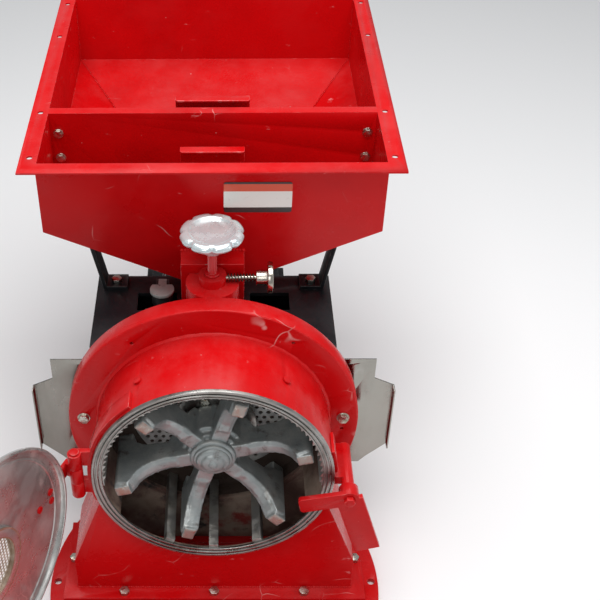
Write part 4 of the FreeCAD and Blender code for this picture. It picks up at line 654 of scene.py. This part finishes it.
# Lighter black for the bevelled edges: rubbed paint, and also a painted highlight along each edge.
edge_wear_and_highlight_black = material("edge_wear_and_highlight_black", (0.045, 0.044, 0.043), 0.40)
over(edge_wear_and_highlight_black, patches, (0.22, 0.21, 0.20), Scale=70.0, Low=0.55, High=0.66)
black_skin = [black_paint, edge_wear_and_highlight_black]
for node in ("bearing_housing", "bearing_cover"):
    finished(node, 1.0, black_skin)

rubber = material("rubber", (0.016, 0.016, 0.016), 0.78)
relief(rubber, lumps, 0.0003, 0.5, Scale=600.0)
finished("shaft_seals", 0.4, [rubber])

# ---------------------------------------------------------------- coupling
# Two cast jaw halves with a moulded yellow spider between them.
finished("coupling_mill_half", 0.6, [cast_grey])
finished("coupling_motor_half", 0.6, [cast_grey])
yellow_rubber = material("yellow_rubber", (0.62, 0.36, 0.02), 0.52)
over(yellow_rubber, patches, (0.36, 0.20, 0.03), Scale=40.0, Low=0.5, High=0.7)
relief(yellow_rubber, lumps, 0.0002, 0.5, Scale=500.0)
finished("coupling_spider", 0.5, [yellow_rubber])

# ---------------------------------------------------------------- motor
# Finned cast body with bolted end shields, a pressed fan cowl, a terminal box with a blank rating
# plate, and a plastic fan. It is sprayed grey, with dust in the fins.
grey_paint = material("grey_paint", (0.145, 0.155, 0.165), 0.40, coat=0.1)
over(grey_paint, patches, (0.12, 0.128, 0.137), Scale=9.0, Low=0.42, High=0.72)
over(grey_paint, flour, (0.46, 0.44, 0.41), Amount=0.42, Scale=12.0)
over(grey_paint, scratches, (0.34, 0.34, 0.34), Scale=18.0, Width=0.012, Patch=0.62)
rougher(grey_paint, patches, 0.56, 0.36, Scale=14.0, Low=0.4, High=0.7)
relief(grey_paint, lumps, 0.0005, 0.5, Scale=190.0)
# Lighter grey for the bevelled edges: rubbed paint, and also a painted highlight along each edge.
edge_wear_and_highlight_grey = material("edge_wear_and_highlight_grey", (0.27, 0.275, 0.28), 0.42)
over(edge_wear_and_highlight_grey, patches, (0.42, 0.42, 0.41), Scale=70.0, Low=0.55, High=0.66)
for node, broken_mm in (("motor_body", 0.7), ("motor_end_shields", 0.8), ("fan_cowl", 0.5),
                        ("terminal_box", 1.2)):
    finished(node, broken_mm, [grey_paint, edge_wear_and_highlight_grey])
copper_wire = material("copper_wire", (0.60, 0.24, 0.11), 0.36, metallic=1.0)
relief(copper_wire, lumps, 0.0008, 0.8, Scale=300.0, Stretch=(1.0, 6.0, 1.0))
finished("motor_stator", 0.4, [copper_wire])
black_plastic = material("black_plastic", (0.014, 0.014, 0.015), 0.44)
over(black_plastic, flour, (0.24, 0.23, 0.22), Amount=0.25, Scale=30.0)
relief(black_plastic, lumps, 0.0002, 0.5, Scale=700.0)
finished("motor_fan", 0.5, [black_plastic])
finished("cable_gland", 0.6, [black_plastic])

lid_low, lid_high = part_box("terminal_box")
plate = bmesh.new()
bmesh.ops.create_grid(plate, x_segments=9, y_segments=5, size=0.5,
                      matrix=Matrix.Diagonal((0.058, 0.036, 1.0, 1.0)))
for vert in plate.verts:
    along = vert.co.x
    vert.co = Vector((0.0, (lid_low.y + lid_high.y) / 2 + along, lid_high.z + 0.0006)) + Vector(
        (vert.co.y, 0.0, 0.0))
bmesh.ops.solidify(plate, geom=plate.faces[:], thickness=0.0005)
bmesh.ops.recalc_face_normals(plate, faces=plate.faces)
dull_plate = material("rating_plate", (0.55, 0.55, 0.54), 0.32, metallic=1.0)
over(dull_plate, patches, (0.36, 0.36, 0.35), Scale=50.0, Low=0.5, High=0.7)
link_piece("blank_rating_plate", plate, dull_plate, "frame")
rivets = bmesh.new()
for side in (-1, 1):
    spot = Vector((0.0, (lid_low.y + lid_high.y) / 2 + side * 0.0258, lid_high.z + 0.0008))
    bmesh.ops.create_uvsphere(rivets, u_segments=16, v_segments=8, radius=0.0019,
                              matrix=Matrix.Translation(spot) @ Matrix.Diagonal((1.0, 1.0, 0.6, 1.0)))
for x in (-0.029, 0.029):
    for y in (lid_low.y + 0.006, lid_high.y - 0.006):
        spot = Matrix.Translation((x, y, lid_high.z + 0.0012))
        bmesh.ops.create_cone(rivets, cap_ends=True, segments=24, radius1=0.0034, radius2=0.0029,
                              depth=0.0024, matrix=spot)
link_piece("terminal_lid_screws", rivets, zinc_plate, "frame", 30.0)

# Through bolts that clamp the end shields, one at each corner of the motor.
clamps = bmesh.new()
shield_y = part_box("motor_end_shields")[0].y + 0.010
for k in range(4):
    angle = math.radians(45.0 + 90.0 * k)
    spot = Vector((0.066 * math.cos(angle), shield_y, mill_axis.z + 0.066 * math.sin(angle)))
    turn = Matrix.Translation(spot) @ Matrix.Rotation(math.radians(90.0), 4, "X")
    bmesh.ops.create_cone(clamps, cap_ends=True, segments=6, radius1=0.0052, radius2=0.0052,
                          depth=0.0075, matrix=turn)
link_piece("shield_bolts", clamps, zinc_plate, "frame", 20.0)

# ---------------------------------------------------------------- stand
# Welded box-section frame under the motor and bearings, with a plate table, in black paint.
finished("stand_frame", 1.6, black_skin)

# ---------------------------------------------------------------- cabinet and front panel
# Folded black sheet covers the bearings. In front of it stands a polished stainless panel, cut to
# half a hexagon at each side with its edge turned back, still smeared from handling.
for node in ("cabinet_sides", "cabinet_top"):
    finished(node, 0.7, black_skin)

polished = material("polished_stainless", (0.34, 0.325, 0.295), 0.20, metallic=1.0)
over(polished, patches, (0.22, 0.205, 0.18), Scale=6.0, Stretch=(1.0, 1.0, 0.45), Low=0.40, High=0.70)
over(polished, patches, (0.48, 0.47, 0.45), Scale=19.0, Stretch=(1.0, 1.0, 0.5), Low=0.58, High=0.75)
rougher(polished, patches, 0.40, 0.10, Scale=8.0, Stretch=(1.0, 1.0, 0.5), Low=0.38, High=0.68)
relief(polished, lumps, 0.006, 0.25, Scale=7.0)
relief(polished, lumps, 0.00008, 0.5, Scale=300.0, Stretch=(1.0, 1.0, 0.04))
finished("front_panel", 0.5, [polished])

# ---------------------------------------------------------------- oil cup
# Pressed cup with a hinged lid, dull and speckled where oil has been wiped over it.
cup_metal = material("cup_metal", (0.52, 0.54, 0.52), 0.42, metallic=0.35)
over(cup_metal, patches, (0.42, 0.42, 0.40), Scale=60.0, Low=0.45, High=0.62)
over(cup_metal, patches, (0.16, 0.155, 0.15), Scale=110.0, Low=0.60, High=0.70)
rougher(cup_metal, patches, 0.60, 0.34, Scale=70.0, Low=0.35, High=0.7)
finished("oil_cup", 0.5, [black_plastic])
finished("oil_cup_lid", 0.9, [cup_metal])

# ---------------------------------------------------------------- hopper
# Folded 2.5 mm sheet with a flat rim, welded at its corners and round the outlet. A folded plate
# bolted to two angle brackets parts the small front bay from the rear one.
finished("hopper", 1.1, red_skin, 18.0)
finished("hopper_divider", 0.8, red_skin)
finished("divider_brackets", 0.5, red_skin)
rim_low, rim_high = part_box("hopper")
wall_x = rim_high.x - 0.023
front_y, back_y = rim_low.y + 0.023, rim_high.y - 0.023
fold_z = rim_high.z - 0.104
outlet_z = rim_low.z
outlet_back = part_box("rear_gate")[1].y + 0.003
for side in (-1, 1):
    for y in (front_y, back_y):
        weld_bead(f"corner_weld_{'left' if side < 0 else 'right'}_{'front' if y == front_y else 'back'}",
                  (side * wall_x, y, fold_z), (side * wall_x, y, rim_high.z - 0.004), "frame", 0.0019)
    weld_bead(f"floor_weld_{'left' if side < 0 else 'right'}", (side * wall_x, back_y, fold_z),
              (side * 0.043, outlet_back + 0.004, outlet_z + 0.004), "frame", 0.0019)
washer_spots = []
for lowest, highest in islands("small_screws"):
    middle = (lowest + highest) / 2
    if middle.z > fold_z and highest.y - lowest.y > highest.z - lowest.z:
        washer_spots.append(((middle.x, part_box("hopper_divider")[0].y, middle.z), (0, -1, 0), 0.0072))
washers("divider_washers", washer_spots, "frame")

# Printed sticker on the front wall: bands of colour only, under a clear film.
label_low, label_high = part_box("hopper_label")
sticker = bmesh.new()
bmesh.ops.create_grid(sticker, x_segments=1, y_segments=1, size=0.5, matrix=Matrix.Identity(4))
width, height = label_high.x - label_low.x, label_high.z - label_low.z
label_middle = (label_low + label_high) / 2
face_matrix = (Matrix.Translation((label_middle.x, label_low.y, label_middle.z))
               @ Matrix.Rotation(math.radians(90.0), 4, "X") @ Matrix.Diagonal((width, height, 1.0, 1.0)))
bmesh.ops.transform(sticker, matrix=face_matrix, verts=sticker.verts)
bmesh.ops.bevel(sticker, geom=sticker.verts[:], offset=0.0035, affect="VERTICES", segments=5, profile=0.5,
                material=-1)
for level in (0.17, 0.70, 0.94):
    bmesh.ops.bisect_plane(sticker, geom=sticker.verts[:] + sticker.edges[:] + sticker.faces[:],
                           plane_co=(0.0, 0.0, label_low.z + height * level), plane_no=(0, 0, 1))
white_print = material("white_print", (0.78, 0.76, 0.72), 0.30, coat=0.3)
over(white_print, patches, (0.62, 0.55, 0.50), Scale=80.0, Low=0.60, High=0.72)
orange_print = material("orange_print", (0.68, 0.075, 0.025), 0.30, coat=0.3)
over(orange_print, patches, (0.55, 0.10, 0.05), Scale=90.0, Low=0.60, High=0.72)
black_print = material("black_print", (0.018, 0.016, 0.016), 0.32, coat=0.3)
over(black_print, patches, (0.10, 0.09, 0.09), Scale=90.0, Low=0.62, High=0.72)
for facet in sticker.faces:
    share = (facet.calc_center_median().z - label_low.z) / height
    if share < 0.17 or share > 0.94:
        facet.material_index = 2
    elif share > 0.70:
        facet.material_index = 1
grown = bmesh.ops.extrude_face_region(sticker, geom=sticker.faces[:])
back_verts = [g for g in grown["geom"] if isinstance(g, bmesh.types.BMVert)]
bmesh.ops.translate(sticker, verts=back_verts, vec=(0.0, label_high.y - label_low.y, 0.0))
bmesh.ops.recalc_face_normals(sticker, faces=sticker.faces)
label = link_piece("band_label", sticker, [white_print, orange_print, black_print], "frame")
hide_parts("hopper_label")

# ---------------------------------------------------------------- gates and their guides
# Sheet slides with a folded lip to pull on, between narrow guides welded in the hopper.
for node in ("front_gate", "rear_gate"):
    finished(node, 0.7, red_skin)
finished("gate_guides", 0.5, red_skin)

# ---------------------------------------------------------------- hopper supports
# Flat and angle legs from the cabinet and stand up to the hopper, in black paint.
finished("hopper_supports", 0.8, black_skin)

# ---------------------------------------------------------------- chute, column and screw valve
# Folded chute and column of red sheet, with weld metal standing proud where the column meets the
# hopper, and a turned valve body whose screw is worked by a chromed, lobed handwheel.
finished("feed_chute", 0.8, red_skin)
finished("feed_column", 0.9, red_skin)
finished("valve_body", 0.7, red_skin)
column_low, column_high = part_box("feed_column")
weld_bead("column_weld_top", (column_low.x + 0.001, column_high.y, column_high.z + 0.0006),
          (column_high.x - 0.001, column_high.y, column_high.z + 0.0006), "frame", 0.0031, 0.0042)
for side, x in (("left", column_low.x), ("right", column_high.x)):
    weld_bead(f"column_weld_{side}", (x, column_high.y, column_low.z + 0.03),
              (x, column_high.y, column_high.z), "frame", 0.0022)

red_rod = material("red_rod", (0.56, 0.006, 0.009), 0.26, coat=0.3)
over(red_rod, patches, (0.64, 0.22, 0.20), Scale=60.0, Stretch=(1.0, 1.0, 0.2), Low=0.6, High=0.75)
finished("valve_spindle", 0.5, [red_rod])
finished("valve_plug", 0.6, [ground_steel])

# The chrome's pale blue-grey colour, and the pale blue layer on its upward faces, are painted reflection of
# the pale room; the layer also stands for flour.
chrome = material("chrome", (0.60, 0.68, 0.70), 0.22, metallic=0.50)
over(chrome, flour, (0.74, 0.80, 0.79), Amount=0.75, Scale=20.0)
over(chrome, patches, (0.58, 0.60, 0.60), Scale=44.0, Low=0.60, High=0.74)
rougher(chrome, patches, 0.40, 0.14, Scale=36.0, Low=0.42, High=0.68)
wheel_low, wheel_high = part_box("handwheel")
wheel_centre = (wheel_low + wheel_high) / 2
wheel_r = (wheel_high.x - wheel_low.x) / 2
top, bottom = wheel_high.z, wheel_high.z - 0.012
wheel_profile = [
    (0.0, top - 0.0062), (0.012, top - 0.0061), (0.0215, top - 0.0054), (0.0262, top - 0.0042),
    (0.0290, top - 0.0018), (0.0306, top - 0.0004), (0.0324, top), (wheel_r - 0.0050, top - 0.0004),
    (wheel_r - 0.0022, top - 0.0018), (wheel_r - 0.0006, top - 0.0038), (wheel_r, top - 0.0062),
    (wheel_r - 0.0008, top - 0.0086), (wheel_r - 0.0028, bottom + 0.0012), (wheel_r - 0.0060, bottom),
    (0.0300, bottom + 0.0004), (0.0240, bottom - 0.0010), (0.0170, bottom - 0.0030),
    (0.0138, bottom - 0.0062),
    (0.0130, bottom - 0.0095), (0.0130, wheel_low.z + 0.0012), (0.0118, wheel_low.z), (0.0068, wheel_low.z),
]
wheel = spun([(wheel_centre.x + r, wheel_centre.y, z) for r, z in wheel_profile], wheel_centre,
             (0, 0, 1), 144)
rims = [e for e in wheel.edges if e.is_boundary]
bmesh.ops.holes_fill(wheel, edges=rims)
for vert in wheel.verts:
    arm = vert.co.xy - wheel_centre.xy
    if arm.length > 0.0295:
        turn = math.atan2(arm.y, arm.x)
        dip = max(0.0, math.cos(8.0 * turn)) ** 3
        share = min(1.0, (arm.length - 0.0295) / 0.008)
        vert.co.xy = wheel_centre.xy + arm * (1.0 - 0.085 * dip * share)
bmesh.ops.recalc_face_normals(wheel, faces=wheel.faces)
handwheel = link_piece("lobed_handwheel", wheel, chrome, "valve_screw", 50.0)
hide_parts("handwheel")

# ---------------------------------------------------------------- lock screw
# Knurled nickel knob on a thin screw, with a dark spring wound round it that stops it working loose.
nickel = material("nickel", (0.50, 0.46, 0.40), 0.24, metallic=1.0)
over(nickel, patches, (0.46, 0.41, 0.34), Scale=80.0, Low=0.5, High=0.7)
rougher(nickel, patches, 0.36, 0.14, Scale=60.0, Low=0.4, High=0.7)
knob_low, knob_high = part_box("lock_knob")
knob_axis = Vector((0.0, (knob_low.y + knob_high.y) / 2, (knob_low.z + knob_high.z) / 2))
knob_r = (knob_high.z - knob_low.z) / 2
tip, face = knob_low.x, knob_high.x
knob_profile = [
    (0.0, tip), (0.0030, tip), (0.0030, face - 0.0222), (0.0095, face - 0.0220), (0.0104, face - 0.0212),
    (0.0105, face - 0.0085), (0.0112, face - 0.0072), (0.0196, face - 0.0070), (0.0204, face - 0.0064),
    (knob_r, face - 0.0056), (knob_r, face - 0.0014), (0.0204, face - 0.0006), (0.0194, face),
    (0.0060, face), (0.0054, face - 0.0010), (0.0, face - 0.0010),
]
knob = spun([(x, knob_axis.y, knob_axis.z + r) for r, x in knob_profile], knob_axis, (1, 0, 0), 120)
for vert in knob.verts:
    arm = vert.co.yz - knob_axis.yz
    if arm.length > knob_r - 0.0002 and int(round(math.degrees(math.atan2(arm.y, arm.x)) / 3.0)) % 2:
        vert.co.yz = knob_axis.yz + arm * 0.975
bmesh.ops.recalc_face_normals(knob, faces=knob.faces)
knurled = link_piece("knurled_knob", knob, nickel, "lock_knob", 30.0)
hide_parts("lock_knob")
spring_wire = material("spring_wire", (0.13, 0.11, 0.09), 0.36, metallic=1.0)
over(spring_wire, patches, (0.24, 0.14, 0.07), Scale=120.0, Low=0.5, High=0.68)
finished("lock_spring", 0.0, [spring_wire], 60.0)

# ---------------------------------------------------------------- door
# Spun stainless dish with a rolled rim and a shallow raised circle. A ring riveted at its middle
# holds a disc of wire mesh. It hangs open on a red strap hinge, and flour clouds its polish.
spun_steel = material("spun_steel", (0.58, 0.58, 0.56), 0.36, metallic=0.8)
over(spun_steel, patches, (0.36, 0.35, 0.34), Scale=9.0, Low=0.40, High=0.66)
over(spun_steel, patches, (0.74, 0.73, 0.70), Scale=24.0, Stretch=(1.0, 1.0, 0.5), Low=0.54, High=0.74)
over(spun_steel, scratches, (0.70, 0.69, 0.66), Scale=20.0, Width=0.010, Patch=0.50)
rougher(spun_steel, patches, 0.46, 0.26, Scale=14.0, Low=0.36, High=0.66)
relief(spun_steel, lumps, 0.0016, 0.35, Scale=22.0)

closed_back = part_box("door_seat")[0].y - 0.001
closed_front = closed_back - 0.010
door_swing = next(joint for joint in frame["joints"] if joint["name"] == "door_swing")
hinge = Vector(door_swing["pos_m"])
swung_open = (Matrix.Translation(hinge) @ Matrix.Rotation(math.radians(-116.0), 4, "Z")
              @ Matrix.Translation(-hinge))
dish_profile = [
    (0.0480, closed_front), (0.0560, closed_front), (0.1060, closed_front),
    (0.1500, closed_front), (0.1560, closed_front + 0.0006), (0.1600, closed_front + 0.0028),
    (0.1614, closed_front + 0.0058), (0.1620, closed_back - 0.0016), (0.1616, closed_back - 0.0004),
    (0.1604, closed_back), (0.1590, closed_back - 0.0002), (0.1582, closed_back - 0.0012),
    (0.1580, closed_front + 0.0062), (0.1566, closed_front + 0.0036), (0.1530, closed_front + 0.0024),
    (0.1484, closed_front + 0.0021), (0.1470, closed_front + 0.0032), (0.1440, closed_front + 0.0034),
    (0.1426, closed_front + 0.0022), (0.0900, closed_front + 0.0020), (0.0630, closed_front + 0.0020),
    (0.0480, closed_front + 0.0020),
]
dish = turned_ring(dish_profile, 192)
bmesh.ops.transform(dish, matrix=swung_open, verts=dish.verts)
door = link_piece("spun_door", dish, spun_steel, "door", 34.0)
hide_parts("door_dish")
mesh_wire = material("mesh_wire", (0.40, 0.30, 0.22), 0.42, metallic=0.8)
over(mesh_wire, patches, (0.60, 0.50, 0.42), Scale=70.0, Low=0.45, High=0.65)
finished("door_vent", 0.0, [mesh_wire], 30.0)
vent_frame = [
    (0.0472, closed_front + 0.0022), (0.0472, closed_front + 0.0060), (0.0478, closed_front + 0.0070),
    (0.0500, closed_front + 0.0074), (0.0560, closed_front + 0.0074), (0.0590, closed_front + 0.0066),
    (0.0602, closed_front + 0.0048), (0.0604, closed_front + 0.0022),
]
ring = turned_ring(vent_frame, 128)
bmesh.ops.transform(ring, matrix=swung_open, verts=ring.verts)
link_piece("vent_frame_ring", ring, spun_steel, "door", 34.0)
finished("door_strap", 0.7, red_skin)

# ---------------------------------------------------------------- hinge, latch and their pins
# Hinge knuckles and latch bar are welded to the drum and painted with it. The latch is a flat
# lever on a bolt, whose long arm hooks over the closed door.
finished("drum_brackets", 0.9, red_skin)
finished("pivot_pins", 0.6, red_skin)
finished("latch_lever", 0.9, red_skin)

# ---------------------------------------------------------------- floor, light and camera
# Plain pale floor with broad soft lamps over it, and the camera above and in front of the mill.
floor_mesh = bmesh.new()
bmesh.ops.create_grid(floor_mesh, x_segments=1, y_segments=1, size=6.0)
floor_data = bpy.data.meshes.new("studio_floor")
floor_mesh.to_mesh(floor_data)
floor_mesh.free()
pale_floor = material("pale_floor", (0.86, 0.86, 0.86), 0.7)
floor_data.materials.append(pale_floor)
floor = bpy.data.objects.new("studio_floor", floor_data)
floor.location = (0.0, 0.3, -0.0005)
bpy.context.scene.collection.objects.link(floor)

sky = bpy.data.worlds.new("pale_room")
sky.use_nodes = True
sky.node_tree.nodes["Background"].inputs["Color"].default_value = (0.95, 0.97, 1.0, 1.0)
sky.node_tree.nodes["Background"].inputs["Strength"].default_value = 0.40
bpy.context.scene.world = sky
bpy.context.scene.view_settings.view_transform = "Standard"


def soft_lamp(name, place, target, size, power):
    lamp = bpy.data.lights.new(name, "AREA")
    lamp.shape = "RECTANGLE"
    lamp.size, lamp.size_y = size
    lamp.energy = power
    holder = bpy.data.objects.new(name, lamp)
    holder.location = place
    holder.rotation_euler = (Vector(target) - Vector(place)).to_track_quat("-Z", "Y").to_euler()
    bpy.context.scene.collection.objects.link(holder)


soft_lamp("ceiling_lamp", (0.1, 0.2, 2.2), (0.0, 0.2, 0.3), (2.0, 1.6), 44.0)
soft_lamp("front_lamp", (-0.6, -1.8, 1.7), (0.0, 0.0, 0.3), (1.2, 0.9), 9.0)
soft_lamp("side_lamp", (1.9, -0.4, 1.2), (0.0, 0.2, 0.3), (1.0, 1.2), 6.0)

eye = bpy.data.cameras.new("studio_camera")
eye.lens = 65.83
eye.sensor_width = 36.0
eye.shift_x = 0.15
eye.shift_y = 0.0717
eye.clip_end = 30.0
camera = bpy.data.objects.new("studio_camera", eye)
camera.matrix_world = (Matrix.Translation((0.01585, -0.98604, 1.33362))
                       @ Matrix.Rotation(math.radians(1.011), 4, "Z")
                       @ Matrix.Rotation(math.radians(90.0 - 41.101), 4, "X")
                       @ Matrix.Rotation(math.radians(-0.762), 4, "Z"))
bpy.context.scene.collection.objects.link(camera)
bpy.context.scene.camera = camera

bpy.context.view_layer.update()
